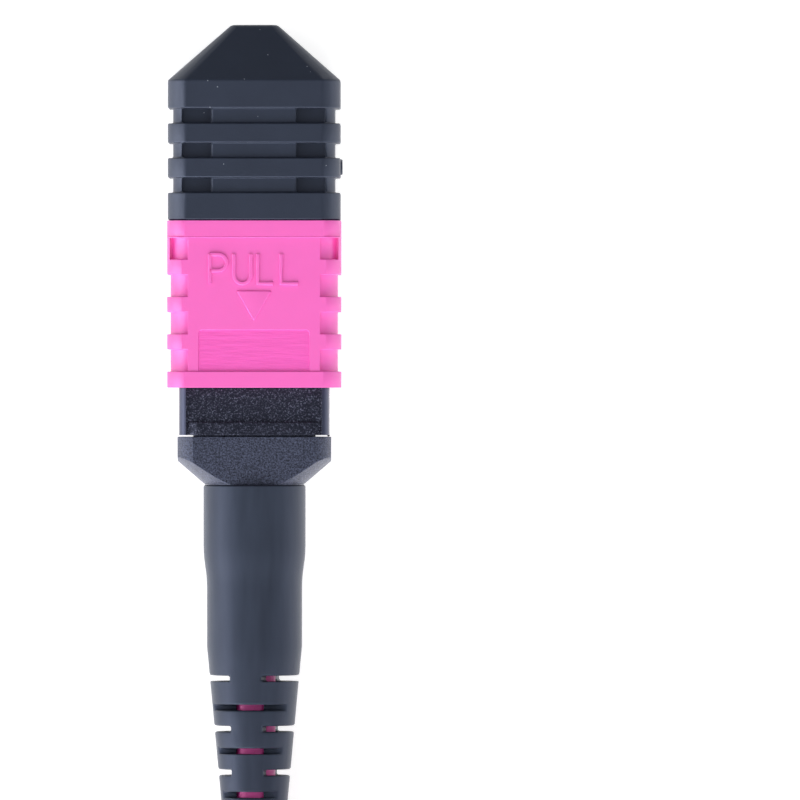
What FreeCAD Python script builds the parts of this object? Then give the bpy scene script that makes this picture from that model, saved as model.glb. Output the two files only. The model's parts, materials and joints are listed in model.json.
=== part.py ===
"""A twelve-fibre push-pull connector on a round cable, with its dust cap on.

Every piece is drawn on the connector's own axis: +Y is the mating direction, X is the wide way and Z the
thin way, and y = 0 is the front face of the collar.  place() then lays the whole thing on its wide side, with
the origin on the table under the middle of the connector.  All sizes are in millimetres.
"""

import FreeCAD, Part
import math
import os

from FreeCAD import Rotation, Vector

AXIS = Vector(0, 1, 0)
CENTRE = Vector(0, 0, 0)
FAR = 20.0  # longer than any section is wide: for tools that cut right through

# --- cable ---------------------------------------------------------------------------------------------
CABLE_D = 3.0
JACKET_WALL = 0.5
BUNDLE_D = 1.15  # the twelve coated fibres, lying together
BUNDLE_GAP = 0.03

# --- fits ----------------------------------------------------------------------------------------------
SLIDE_GAP = 0.08  # each side, between the coupling and the body that it slides on
FERRULE_GAP = 0.1  # each side, so that the ferrule can float
CAP_GAP = 0.1  # each side, round the nose
SEAT_GAP = 0.02  # a spring or flange and the face that it bears on
STOP_GAP = 0.05  # two moving pieces that meet at the end of their travel
CORNER_CREASE = 20.0  # degrees, at which the rounding of a corner meets the wide and the narrow faces

# --- inner housing -------------------------------------------------------------------------------------
BODY_W = 10.7
BODY_H = 6.64
BODY_CORNER = 0.75
COLLAR_TO_BODY = 0.12
SHOULDER_BACK = 1.8  # from the front of the coupling back to where the nose starts
NOSE_W = 9.7
NOSE_H = 5.5
NOSE_CORNER = 0.4
NOSE_REACH = 8.0  # how far the nose stands out of the coupling
NOSE_LEAD_IN = 0.35
CHAMBER_WALL = 0.3  # in front of the wide chamber, where the nose starts
KEY_W = 2.5
KEY_H = 0.6
KEY_L = 5.8
KEY_BACK = 1.3  # from the front of the nose back to the key
CHANNEL_W = 9.65
CHANNEL_DEPTH = 0.2
LAND_W = 8.14  # the flat top of the land at the rear end of each channel
LAND_L = 0.9
LAND_RAMP = 0.7
LATCH_NOTCH_L = 3.2
LATCH_NOTCH_H = 3.4
LATCH_NOTCH_DEPTH = 0.7
LATCH_NOTCH_BACK = 5.7  # from the front of the nose back to the notch

# --- coupling housing ----------------------------------------------------------------------------------
COUPLING_W = 12.4
COUPLING_H = 8.0
COUPLING_CORNER = 1.3
FRONT_BAND = 1.2
REAR_BAND = 1.15
GRIP_RIBS = 3
GRIP_RIB = 1.08
GRIP_GROOVE = 1.58
GRIP_DEPTH = 0.25
GRIP_WRAP = 1.49  # how far each groove reaches round the corner onto the wide face
PANEL_DROP = 0.1
GRIP_CORNER = 1.2  # of the core that the grooves lay bare
POCKET_RIM = 0.2  # the side wall that the foremost groove leaves standing
POCKET_DEPTH = 1.2  # of that groove, below the wide face
LABEL_W = 7.9
LABEL_L = 2.96
LABEL_DEPTH = 0.08
LABEL_CORNER = 0.25
PULL_ROOM = 3.5  # from the collar to the coupling at rest

# --- coupling springs ----------------------------------------------------------------------------------
COUPLING_SPRING_D = 1.2
COUPLING_SPRING_WIRE = 0.2
COUPLING_SPRING_L = 8.6
COUPLING_SPRING_TURNS = 6
SPRING_GROOVE_GAP = 0.07
LUG_L = 1.0
LUG_H = 1.1

# --- ferrule group -------------------------------------------------------------------------------------
FERRULE_W = 6.4
FERRULE_H = 2.5
FERRULE_L = 8.0
FERRULE_REACH = 0.8  # how far its polished face stands out of the nose
FLANGE_W = 7.0
FLANGE_H = 3.0
FLANGE_L = 2.0
FLOAT_TRAVEL = 0.8
FIBRES = 12
FIBRE_PITCH = 0.25
FIBRE_D = 0.125
FIBRE_HOLE_D = 0.127
FIBRE_HOLE_L = 3.0
RIBBON_T = 0.3
RIBBON_EDGE = 0.025  # of coating, beside the outer fibres
GATHER_W = 0.8  # each way, where the fibres gather in the post
RIBBON_SLOT_H = 1.0
GLUE_WINDOW_L = 2.4
GLUE_WINDOW_W = 3.2
PIN_D = 0.698
PIN_HOLE_D = 0.7
PIN_SPACING = 4.6
PIN_REACH = 2.1  # out of the ferrule's face
PIN_POINT = 0.35
PIN_TAIL = 0.85  # behind the flange, in the clamp
PIN_NECK_D = 0.5
PIN_NECK_L = 0.4
CLAMP_T = 1.1
CLAMP_H = 4.1
CLAMP_WINDOW_W = 3.7
CLAMP_WINDOW_H = 1.7
FERRULE_SPRING_D = 4.1
FERRULE_SPRING_WIRE = 0.4
FERRULE_SPRING_L = 8.1
FERRULE_SPRING_TURNS = 5

# --- rear body: collar, push and crimp post --------------------------------------------------------------
COLLAR_W = 10.95
COLLAR_H = 6.2
COLLAR_L = 3.35
COLLAR_CORNER = 1.12
COLLAR_END_D = 7.2
COLLAR_CONE_ANGLE = 49.4
PUSH_H = 5.0
PUSH_CORNER = 0.5
PILOT_W = 8.7  # the wide foot of the push, which centres it in the body
PILOT_L = 0.6
ARM_W = 2.8
ARM_T = 0.4
ARM_L = 2.9
HOOK_L = 0.9
HOOK_RISE = 0.55
HOOK_BACK = 1.7  # from the push's front face to the hook
POST_D = 4.4
POST_L = 5.65
POST_BORE_D = 3.3
POST_RINGS = 5
POST_RING_DEPTH = 0.12

# --- crimp ring and yarn ---------------------------------------------------------------------------------
YARN_T = 0.25
RING_WALL = 0.4
RING_GAP = 0.03
RING_START = 0.2  # behind the collar
RING_SLEEVE_L = 3.0  # the narrow sleeve on the jacket
JACKET_BACK = 0.6  # from the post's end back to the cut end of the jacket

# --- boot ------------------------------------------------------------------------------------------------
BOOT_D = 7.29
BOOT_WAIST_D = 6.79
BOOT_END_D = 4.14
BOOT_GAP = 0.1  # to the collar
BOOT_SEAT_D = 7.1  # of the collar's end, which fills most of that gap
BOOT_HEAD_L = 4.3
BOOT_NECKING_L = 3.05
BOOT_WAIST_L = 4.15
BOOT_TAPER_L = 14.35
BOOT_BORE_GAP = 0.2  # each side, round the cable
BOOT_TWIST = 12.5  # degrees, as it was pushed on
SLOT_H = 0.42
SLOT_PITCH = 3.12
SIDE_SLOT_FIRST = 2.29  # into the taper
SIDE_SLOT_LEAD = 0.47  # the first one stands this much further forward
SIDE_SLOTS = 4
FACE_SLOT_FIRST = 4.35
FACE_SLOTS = 3
SIDE_SLOT_WEB = 2.3  # the spine that two side slots leave
FACE_SLOT_WEB = 2.8

# --- dust cap ----------------------------------------------------------------------------------------------
CAP_W = 12.3
CAP_CORNER = 1.4
CAP_BASE_BAND = 1.93
CAP_NOTCHES = 3
CAP_NOTCH = 1.07
CAP_RIB = 1.4
CAP_TOP_BAND = 2.0
CAP_SIDE_DEPTH = 0.38
CAP_FACE_DEPTH = 0.25
CAP_PAD_W = 6.0
CAP_POCKET_W = 2.1
CAP_SKIN = 0.3  # over the cavity, at the bottom of a pocket
CAP_TIP_L = 4.0
CAP_TIP_W = 3.3
CAP_TIP_H = 1.5
CAP_TIP_CORNER = 0.6
CAP_TIP_EDGE = 0.6
PIN_ROOM_W = 7.7
PIN_ROOM_H = 3.1
PIN_ROOM_AHEAD = 0.5

# --- free cord and its coil ----------------------------------------------------------------------------------
LEAD_L = 23.0  # from the boot to the end of the lead's route, in the coil's first turn
LEAD_ASIDE = -4.5  # so that the coil lies in line with the connector
COIL_TURN_R = 15.0  # to the middle of the turns
COIL_COLUMNS = 2
COIL_LAYERS = 5
TURN_GAP = 0.05
TIE_T = 0.5
TIE_W = 6.0
TIE_GAP = 0.05
COIL_BEHIND = 23.5  # from the boot's end to the coil's centre
LEAD_MEETS_COIL = 8.0  # ahead of the coil's centre, where the lead's solid ends on the coil's side
MIN_BEND_DIAMETERS = 5

# --- stations along the axis -----------------------------------------------------------------------------------
body_rear = COLLAR_TO_BODY
coupling_rear = PULL_ROOM
grip_l = (GRIP_RIBS + 1) * GRIP_GROOVE + GRIP_RIBS * GRIP_RIB
coupling_front = coupling_rear + REAR_BAND + grip_l + FRONT_BAND
shoulder = coupling_front - SHOULDER_BACK
nose_front = coupling_front + NOSE_REACH
ferrule_front = nose_front + FERRULE_REACH
flange_front = ferrule_front - FERRULE_L + FLANGE_L
flange_rear = flange_front - FLANGE_L
pin_tip = ferrule_front + PIN_REACH
clamp_rear = flange_rear - CLAMP_T
push_front = clamp_rear - FERRULE_SPRING_L
collar_rear = -COLLAR_L
post_end = collar_rear - POST_L
fold_rear = post_end - YARN_T
jacket_end = post_end - JACKET_BACK
ring_wide_end = fold_rear - RING_GAP
ring_neck = jacket_end - RING_GAP
ring_end = jacket_end - RING_SLEEVE_L
boot_front = collar_rear - BOOT_GAP
taper_front = boot_front - BOOT_HEAD_L - BOOT_NECKING_L - BOOT_WAIST_L
boot_end = taper_front - BOOT_TAPER_L
cap_rear = coupling_front + STOP_GAP
cap_straight = CAP_BASE_BAND + CAP_NOTCHES * CAP_NOTCH + (CAP_NOTCHES - 1) * CAP_RIB + CAP_TOP_BAND
cap_shoulder = cap_rear + cap_straight
cap_tip = cap_shoulder + CAP_TIP_L

# --- sections that several pieces share -----------------------------------------------------------------------
CAP_H = COUPLING_H  # so that both lie flat on the table
rest_height = COUPLING_H / 2
chamber_w = FLANGE_W + 2 * FERRULE_GAP
chamber_h = PUSH_H + 2 * FERRULE_GAP
front_chamber_h = max(CLAMP_H, FERRULE_SPRING_D) + 2 * FERRULE_GAP
front_chamber_end = flange_rear + FERRULE_GAP
ribbon_w = FIBRES * FIBRE_PITCH + 2 * RIBBON_EDGE
spring_groove_h = COUPLING_SPRING_D + 2 * SPRING_GROOVE_GAP
spring_x = BODY_W / 2 + SLIDE_GAP / 2 - COUPLING_SPRING_D / 2
spring_floor_x = spring_x - COUPLING_SPRING_D / 2 - SPRING_GROOVE_GAP
lug_rear = COUPLING_SPRING_L
lug_front = lug_rear + LUG_L
nose_cavity_h = NOSE_H + 2 * CAP_GAP
post_r = POST_D / 2
yarn_r = post_r + YARN_T
ring_r = yarn_r + RING_GAP + RING_WALL
sleeve_r = CABLE_D / 2 + SEAT_GAP + RING_WALL
boot_bore_r = CABLE_D / 2 + BOOT_BORE_GAP


# --- drawing tools -----------------------------------------------------------------------------------------------
def box(x0, x1, y0, y1, z0, z1):
    return Part.makeBox(x1 - x0, y1 - y0, z1 - z0, Vector(x0, y0, z0))


def section(width, height, corner, y, crease=0.0):
    """A rectangle with round corners, square to the axis at y. They meet its sides at crease degrees."""
    x, z = width / 2, height / 2
    half_sweep = math.radians(45 - crease)
    bulge = corner * math.sqrt(0.5) * (1 - math.cos(half_sweep)) / math.sin(half_sweep)
    reach = corner / 2 + bulge * math.sqrt(0.5)
    edges = []
    for k in range(4):
        turn = Rotation(AXIS, -90 * k)
        a, b = (x, z) if k % 2 == 0 else (z, x)
        middle = Vector(a - corner, y, b - corner)
        start, end = middle + Vector(0, 0, corner), middle + Vector(corner, 0, 0)
        half = middle + Vector(reach, 0, reach)
        previous = Vector(-(a - corner), y, b)
        edges.append(Part.makeLine(turn.multVec(previous), turn.multVec(start)))
        edges.append(Part.Arc(*[turn.multVec(p) for p in (start, half, end)]).toShape())
    return Part.Wire(Part.__sortEdges__(edges))


def bevelled_section(width, height, bevel, y):
    """A rectangle with cut corners, square to the axis at y."""
    x, z = width / 2, height / 2
    quarter = [(x - bevel, z), (x, z - bevel)]
    half = quarter + [(a, -b) for a, b in reversed(quarter)]
    points = [Vector(a, y, b) for a, b in half] + [Vector(-a, y, b) for a, b in reversed(half)]
    return Part.makePolygon(points + points[:1])


def bar(width, height, corner, y0, y1, crease=0.0):
    """A bar of that section along the axis, from y0 to y1."""
    return Part.Face(section(width, height, corner, y0, crease)).extrude(Vector(0, y1 - y0, 0))


def rod(diameter, y0, y1, x=0.0, z=0.0):
    return Part.makeCylinder(diameter / 2, y1 - y0, Vector(x, y0, z), AXIS)


def turned(outline):
    """A solid turned about the axis, from (radius, y) points."""
    points = [Vector(r, y, 0) for r, y in outline]
    return Part.Face(Part.makePolygon(points + points[:1])).revolve(CENTRE, AXIS, 360)


def across(shape):
    """The same shape on the other side, mirrored in X."""
    return shape.mirror(CENTRE, Vector(1, 0, 0))


def below(shape):
    """The same shape on the other wide face, mirrored in Z."""
    return shape.mirror(CENTRE, Vector(0, 0, 1))


def four_ways(shape):
    pair = [shape, across(shape)]
    return pair + [below(s) for s in pair]


def coil_spring(diameter, wire, turns, y0, y1, x=0.0):
    """A helix of wire between two seats. The wire has six sides, which keeps a small spring light."""
    radius = (diameter - wire) / 2
    height = y1 - y0 - wire
    path = Part.makeHelix(height / turns, height, radius)
    angles = [math.radians(60 * k + 30) for k in range(6)]
    corners = [Vector(radius + wire / 2 * math.cos(a), 0, wire / 2 * math.sin(a)) for a in angles]
    sweep = Part.BRepOffsetAPI.MakePipeShell(Part.Wire(path))
    sweep.setFrenetMode(True)
    sweep.add(Part.makePolygon(corners + corners[:1]))
    sweep.build()
    sweep.makeSolid()
    spring = sweep.shape()
    spring.rotate(CENTRE, Vector(1, 0, 0), -90)
    spring.translate(Vector(x, y0 + wire / 2, 0))
    return spring


# --- inner housing -----------------------------------------------------------------------------------------------
def rear_land():
    """The raised end of the channel on the upper wide face, with a ramp down each side."""
    top, floor = BODY_H / 2, BODY_H / 2 - CHANNEL_DEPTH
    foot = LAND_W / 2 + LAND_RAMP
    points = [(-foot, floor), (-LAND_W / 2, top), (LAND_W / 2, top), (foot, floor)]
    outline = [Vector(x, body_rear, z) for x, z in points]
    return Part.Face(Part.makePolygon(outline + outline[:1])).extrude(Vector(0, LAND_L, 0))


def make_inner_housing():
    nose = bar(NOSE_W, NOSE_H, NOSE_CORNER, shoulder, nose_front)
    front_edges = [e for e in nose.Edges if all(abs(v.Y - nose_front) < 1e-6 for v in e.Vertexes)]
    nose = nose.makeChamfer(NOSE_LEAD_IN, front_edges)
    key_front = nose_front - KEY_BACK
    key = box(-KEY_W / 2, KEY_W / 2, key_front - KEY_L, key_front, 0, NOSE_H / 2 + KEY_H)

    channel_top = BODY_H / 2
    channel = box(-CHANNEL_W / 2, CHANNEL_W / 2, body_rear, shoulder, channel_top - CHANNEL_DEPTH, channel_top)
    body = bar(BODY_W, BODY_H, BODY_CORNER, body_rear, shoulder)
    body = body.cut([channel, below(channel)]).fuse([rear_land(), below(rear_land())])
    housing = body.fuse([nose, key])

    chambers = [
        bar(PILOT_W + 2 * FERRULE_GAP, chamber_h, PUSH_CORNER, body_rear, body_rear + PILOT_L + STOP_GAP),
        bar(chamber_w, chamber_h, PUSH_CORNER, body_rear, shoulder - CHAMBER_WALL),
        bar(chamber_w, front_chamber_h, FERRULE_GAP, body_rear, front_chamber_end),
        bar(chamber_w, FLANGE_H + 2 * FERRULE_GAP, FERRULE_GAP, body_rear, flange_front + SEAT_GAP),
        bar(FERRULE_W + 2 * FERRULE_GAP, FERRULE_H + 2 * FERRULE_GAP, FERRULE_GAP, body_rear, nose_front),
    ]
    groove = box(spring_floor_x, FAR, body_rear, lug_front + STOP_GAP, -spring_groove_h / 2, spring_groove_h / 2)
    notch_front = nose_front - LATCH_NOTCH_BACK
    notch = box(
        NOSE_W / 2 - LATCH_NOTCH_DEPTH,
        FAR,
        notch_front - LATCH_NOTCH_L,
        notch_front,
        -LATCH_NOTCH_H / 2,
        LATCH_NOTCH_H / 2,
    )
    hook_rear = push_front + HOOK_BACK
    window = box(
        -ARM_W / 2 - FERRULE_GAP,
        ARM_W / 2 + FERRULE_GAP,
        hook_rear - STOP_GAP,
        hook_rear + HOOK_L + ARM_T,
        0,
        FAR,
    )
    tools = chambers + [groove, across(groove), notch, across(notch), window, below(window)]
    return housing.cut(tools).removeSplitter()


# --- rear body ---------------------------------------------------------------------------------------------------
def make_rear_body():
    """Collar, spring push with its two snap arms, and the ringed post that the cable is crimped on, in one."""
    cone_rise = FAR / math.tan(math.radians(COLLAR_CONE_ANGLE))
    end_r = COLLAR_END_D / 2
    cone = Part.makeCone(end_r, end_r + FAR, cone_rise, Vector(0, collar_rear, 0), AXIS)
    block = bar(COLLAR_W, COLLAR_H, COLLAR_CORNER, collar_rear - BOOT_GAP, 0, CORNER_CREASE)
    boot_seat = block.common(rod(BOOT_SEAT_D, boot_front + SEAT_GAP, collar_rear))
    collar = block.common(cone).fuse(boot_seat)

    push = bar(FLANGE_W, PUSH_H, PUSH_CORNER, -SEAT_GAP, push_front)
    pilot = bar(PILOT_W, PUSH_H, PUSH_CORNER, -SEAT_GAP, body_rear + PILOT_L)
    seat = box(spring_floor_x, FAR, 0, FAR, -spring_groove_h / 2, spring_groove_h / 2)
    pilot = pilot.cut([seat, across(seat)])
    arm_top = PUSH_H / 2
    arm = box(-ARM_W / 2, ARM_W / 2, push_front - ARM_L, push_front + ARM_L, arm_top - ARM_T, arm_top)
    hook_rear = push_front + HOOK_BACK
    hook_points = [
        (hook_rear, arm_top - ARM_T),
        (hook_rear, arm_top + HOOK_RISE),
        (hook_rear + HOOK_L / 3, arm_top + HOOK_RISE),
        (hook_rear + HOOK_L, arm_top - ARM_T),
    ]
    outline = [Vector(-ARM_W / 2, y, z) for y, z in hook_points]
    hook = Part.Face(Part.makePolygon(outline + outline[:1])).extrude(Vector(ARM_W, 0, 0))

    post = rod(POST_D, post_end, 0)
    ring_pitch = POST_L / (POST_RINGS + 1)
    grooves = [
        turned(
            [
                (post_r - POST_RING_DEPTH, y - ring_pitch / 6),
                (post_r + YARN_T, y - ring_pitch / 6),
                (post_r + YARN_T, y + ring_pitch / 6),
                (post_r - POST_RING_DEPTH, y + ring_pitch / 6),
            ]
        )
        for y in [collar_rear - (k + 1) * ring_pitch for k in range(POST_RINGS)]
    ]
    rear = collar.fuse([push, pilot, arm, below(arm), hook, below(hook), post.cut(grooves)])
    return rear.cut(rod(POST_BORE_D, post_end, push_front)).removeSplitter()


def make_crimp_ring():
    """A drawn metal ring: wide over the yarn on the post, necked down onto the jacket."""
    start = collar_rear - RING_START
    inner = CABLE_D / 2 + SEAT_GAP
    return turned(
        [
            (yarn_r + RING_GAP, start),
            (ring_r, start),
            (ring_r, ring_wide_end),
            (sleeve_r, ring_neck - RING_WALL / 2),
            (sleeve_r, ring_end),
            (inner, ring_end),
            (inner, ring_neck),
            (yarn_r + RING_GAP, ring_wide_end),
        ]
    )


def make_aramid_yarn():
    """The strength yarn: round the fibres in the jacket, then folded back over the post."""
    inner = BUNDLE_D / 2 + BUNDLE_GAP
    in_jacket = CABLE_D / 2 - JACKET_WALL
    return turned(
        [
            (inner, boot_end),
            (in_jacket, boot_end),
            (in_jacket, jacket_end),
            (CABLE_D / 2, jacket_end),
            (yarn_r, fold_rear),
            (yarn_r, collar_rear - RING_START),
            (post_r, collar_rear - RING_START),
            (post_r, post_end),
            (inner + YARN_T, post_end),
            (inner, jacket_end),
        ]
    )


def make_cable_jacket():
    outer = rod(CABLE_D, boot_end, jacket_end)
    return outer.cut(rod(CABLE_D - 2 * JACKET_WALL, boot_end, jacket_end))


def make_fibre_bundle():
    """The rest of the fibres, far enough back for the ferrule's fibres to come back with it."""
    return rod(BUNDLE_D, boot_end, post_end - FLOAT_TRAVEL - STOP_GAP)


# --- boot ----------------------------------------------------------------------------------------------------------
def boot_outline():
    """Half the boot's outside as edges from the collar end to the tail: head, necking, waist, taper."""
    head_r, waist_r, end_r = BOOT_D / 2, BOOT_WAIST_D / 2, BOOT_END_D / 2
    head_end = boot_front - BOOT_HEAD_L
    waist_front = head_end - BOOT_NECKING_L
    drop = (head_r - waist_r) / 2
    half = BOOT_NECKING_L / 2
    bend_r = (half**2 + drop**2) / (2 * drop)
    reach = half / 2
    sag = bend_r - math.sqrt(bend_r**2 - reach**2)
    middle = Vector((head_r + waist_r) / 2, head_end - half, 0)
    start, end = Vector(head_r, head_end, 0), Vector(waist_r, waist_front, 0)
    on_head = Vector(head_r - sag, head_end - reach, 0)
    on_waist = Vector(waist_r + sag, waist_front + reach, 0)
    return [
        Part.makeLine(Vector(head_r, boot_front, 0), start),
        Part.Arc(start, on_head, middle).toShape(),
        Part.Arc(middle, on_waist, end).toShape(),
        Part.makeLine(end, Vector(waist_r, taper_front, 0)),
        Part.makeLine(Vector(waist_r, taper_front, 0), Vector(end_r, boot_end, 0)),
    ]


def boot_bore():
    """Half the boot's inside, from the tail back to the collar end, as (radius, y) points."""
    step = BOOT_GAP
    return [
        (boot_bore_r, boot_end),
        (boot_bore_r, ring_end - 2 * step),
        (sleeve_r + step, ring_end - step),
        (sleeve_r + step, ring_neck - RING_WALL / 2 - step),
        (ring_r + step, ring_wide_end - step),
        (ring_r + step, boot_front),
    ]


def make_boot():
    outside = boot_outline()
    bore = [Vector(r, y, 0) for r, y in boot_bore()]
    inside = [Part.makeLine(a, b) for a, b in zip(bore, bore[1:])]
    ends = [
        Part.makeLine(outside[-1].Vertexes[-1].Point, bore[0]),
        Part.makeLine(bore[-1], outside[0].Vertexes[0].Point),
    ]
    wire = Part.Wire(Part.__sortEdges__(outside + inside + ends))
    boot = Part.Face(wire).revolve(CENTRE, AXIS, 360)

    side = [taper_front - SIDE_SLOT_FIRST - k * SLOT_PITCH - (SIDE_SLOT_LEAD if k else 0) for k in range(SIDE_SLOTS)]
    face = [taper_front - FACE_SLOT_FIRST - k * SLOT_PITCH for k in range(FACE_SLOTS)]
    slots = []
    for y in side:
        slot = box(SIDE_SLOT_WEB / 2, FAR, y - SLOT_H / 2, y + SLOT_H / 2, -FAR, FAR)
        slots += [slot, across(slot)]
    for y in face:
        slot = box(-FAR, FAR, y - SLOT_H / 2, y + SLOT_H / 2, FACE_SLOT_WEB / 2, FAR)
        slots += [slot, below(slot)]
    boot = boot.cut(slots)
    boot.rotate(CENTRE, AXIS, -BOOT_TWIST)
    return boot


# --- coupling housing ------------------------------------------------------------------------------------------------
def make_coupling_housing():
    band = bar(COUPLING_W, COUPLING_H, COUPLING_CORNER, coupling_rear, coupling_front, CORNER_CREASE)
    panel_h = COUPLING_H - 2 * PANEL_DROP
    panel_rear, panel_front = coupling_rear + REAR_BAND, coupling_front - FRONT_BAND
    panel = box(-FAR, FAR, panel_rear, panel_front, panel_h / 2, FAR)

    core_w, core_h = COUPLING_W - 2 * GRIP_DEPTH, panel_h - 2 * GRIP_DEPTH
    core = bar(core_w, core_h, GRIP_CORNER, panel_rear, panel_front, CORNER_CREASE)
    pocket_floor = panel_h / 2 - POCKET_DEPTH
    wrap_x = COUPLING_W / 2 - GRIP_WRAP
    grooves = []
    for k in range(GRIP_RIBS + 1):
        y = panel_rear + k * (GRIP_GROOVE + GRIP_RIB)
        if k < GRIP_RIBS:
            groove = box(wrap_x, FAR, y, y + GRIP_GROOVE, -FAR, FAR).cut(core)
            grooves += [groove, across(groove)]
        else:
            rim_x = COUPLING_W / 2 - POCKET_RIM
            groove = box(wrap_x, rim_x, y, y + GRIP_GROOVE, pocket_floor, FAR).cut(core)
            grooves += four_ways(groove)

    label = box(-LABEL_W / 2, LABEL_W / 2, panel_rear, panel_rear + LABEL_L, panel_h / 2 - LABEL_DEPTH, FAR)
    far_corners = [e for e in label.Edges if all(abs(v.Y - panel_rear - LABEL_L) < 1e-6 for v in e.Vertexes)]
    label = label.makeFillet(LABEL_CORNER, [e for e in far_corners if e.BoundBox.ZLength > LABEL_DEPTH])

    cavity = bar(
        BODY_W + 2 * SLIDE_GAP,
        BODY_H + 2 * SLIDE_GAP,
        BODY_CORNER + SLIDE_GAP,
        coupling_rear,
        coupling_front,
    )
    housing = band.cut([panel, below(panel), label, cavity] + grooves)
    lug = box(
        spring_floor_x + STOP_GAP,
        BODY_W / 2 + 2 * SLIDE_GAP,
        lug_rear + SEAT_GAP,
        lug_front,
        -LUG_H / 2,
        LUG_H / 2,
    )
    return housing.fuse([lug, across(lug)]).removeSplitter()


def make_coupling_spring():
    return coil_spring(
        COUPLING_SPRING_D, COUPLING_SPRING_WIRE, COUPLING_SPRING_TURNS, 0, lug_rear, spring_x
    )


# --- ferrule group ------------------------------------------------------------------------------------------------------
def fibre_places():
    return [(k - (FIBRES - 1) / 2) * FIBRE_PITCH for k in range(FIBRES)]


def make_ferrule():
    body = bar(FERRULE_W, FERRULE_H, FERRULE_GAP, flange_rear, ferrule_front)
    flange = bar(FLANGE_W, FLANGE_H, FERRULE_GAP, flange_rear, flange_front)
    holes_rear = ferrule_front - FIBRE_HOLE_L
    slot = bar(ribbon_w + 2 * FERRULE_GAP, RIBBON_SLOT_H, FERRULE_GAP, flange_rear, holes_rear)
    window = box(-GLUE_WINDOW_W / 2, GLUE_WINDOW_W / 2, holes_rear - GLUE_WINDOW_L, holes_rear, 0, FAR)
    fibre_holes = [rod(FIBRE_HOLE_D, holes_rear, ferrule_front, x) for x in fibre_places()]
    pin_holes = [rod(PIN_HOLE_D, flange_rear, ferrule_front, s * PIN_SPACING / 2) for s in (-1, 1)]
    return body.fuse(flange).cut([slot, window] + fibre_holes + pin_holes).removeSplitter()


def make_guide_pin():
    """A ground steel pin: a blunt point, a long shank, and a neck that the clamp grips."""
    r, tail = PIN_D / 2, flange_rear - PIN_TAIL
    neck_front = flange_rear - (PIN_TAIL - PIN_NECK_L) / 2
    nose = turned(
        [
            (0, ferrule_front),
            (r, ferrule_front),
            (r, pin_tip - PIN_POINT),
            (r / 2, pin_tip),
            (0, pin_tip),
        ]
    )
    shank = turned(
        [
            (0, tail),
            (r, tail),
            (r, neck_front - PIN_NECK_L),
            (PIN_NECK_D / 2, neck_front - PIN_NECK_L),
            (PIN_NECK_D / 2, neck_front),
            (r, neck_front),
            (r, ferrule_front),
            (0, ferrule_front),
        ]
    )
    pin = nose.fuse(shank)
    pin.translate(Vector(PIN_SPACING / 2, 0, 0))
    return pin


def make_pin_clamp():
    plate = bar(FLANGE_W, CLAMP_H, FERRULE_GAP, clamp_rear, flange_rear)
    window = bar(CLAMP_WINDOW_W, CLAMP_WINDOW_H, FERRULE_GAP, clamp_rear, flange_rear)
    pin_holes = [rod(PIN_HOLE_D, clamp_rear, flange_rear, s * PIN_SPACING / 2) for s in (-1, 1)]
    return plate.cut([window] + pin_holes)


def make_ferrule_boot():
    """A soft sleeve that leads the ribbon into the back of the ferrule."""
    head = bar(ribbon_w + FERRULE_GAP, RIBBON_SLOT_H - SEAT_GAP, FERRULE_GAP / 2, clamp_rear, flange_front)
    tail = bar(CLAMP_WINDOW_W - FERRULE_GAP, CLAMP_WINDOW_H - FERRULE_GAP, FERRULE_GAP, clamp_rear, flange_rear)
    ribbon = Part.Face(bevelled_section(ribbon_w, RIBBON_T, RIBBON_T / 3, clamp_rear))
    ribbon = ribbon.extrude(Vector(0, flange_front - clamp_rear, 0))
    return head.fuse(tail).cut(ribbon).removeSplitter()


def make_fibre_ribbon():
    """Twelve fibres: bare in the ferrule's holes, a flat ribbon behind it, gathered in the post."""
    bare_from = ferrule_front - FIBRE_HOLE_L - GLUE_WINDOW_L / 2
    bare = [rod(FIBRE_D, bare_from, ferrule_front, x) for x in fibre_places()]
    bevel = RIBBON_T / 3
    sections = [
        bevelled_section(GATHER_W, GATHER_W, bevel, post_end),
        bevelled_section(GATHER_W, GATHER_W, bevel, 0),
        bevelled_section(ribbon_w, RIBBON_T, bevel, push_front),
        bevelled_section(ribbon_w, RIBBON_T, bevel, bare_from),
    ]
    return Part.makeLoft(sections, True, True).fuse(bare)


def make_ferrule_spring():
    return coil_spring(
        FERRULE_SPRING_D,
        FERRULE_SPRING_WIRE,
        FERRULE_SPRING_TURNS,
        push_front + SEAT_GAP,
        clamp_rear - SEAT_GAP,
    )


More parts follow.
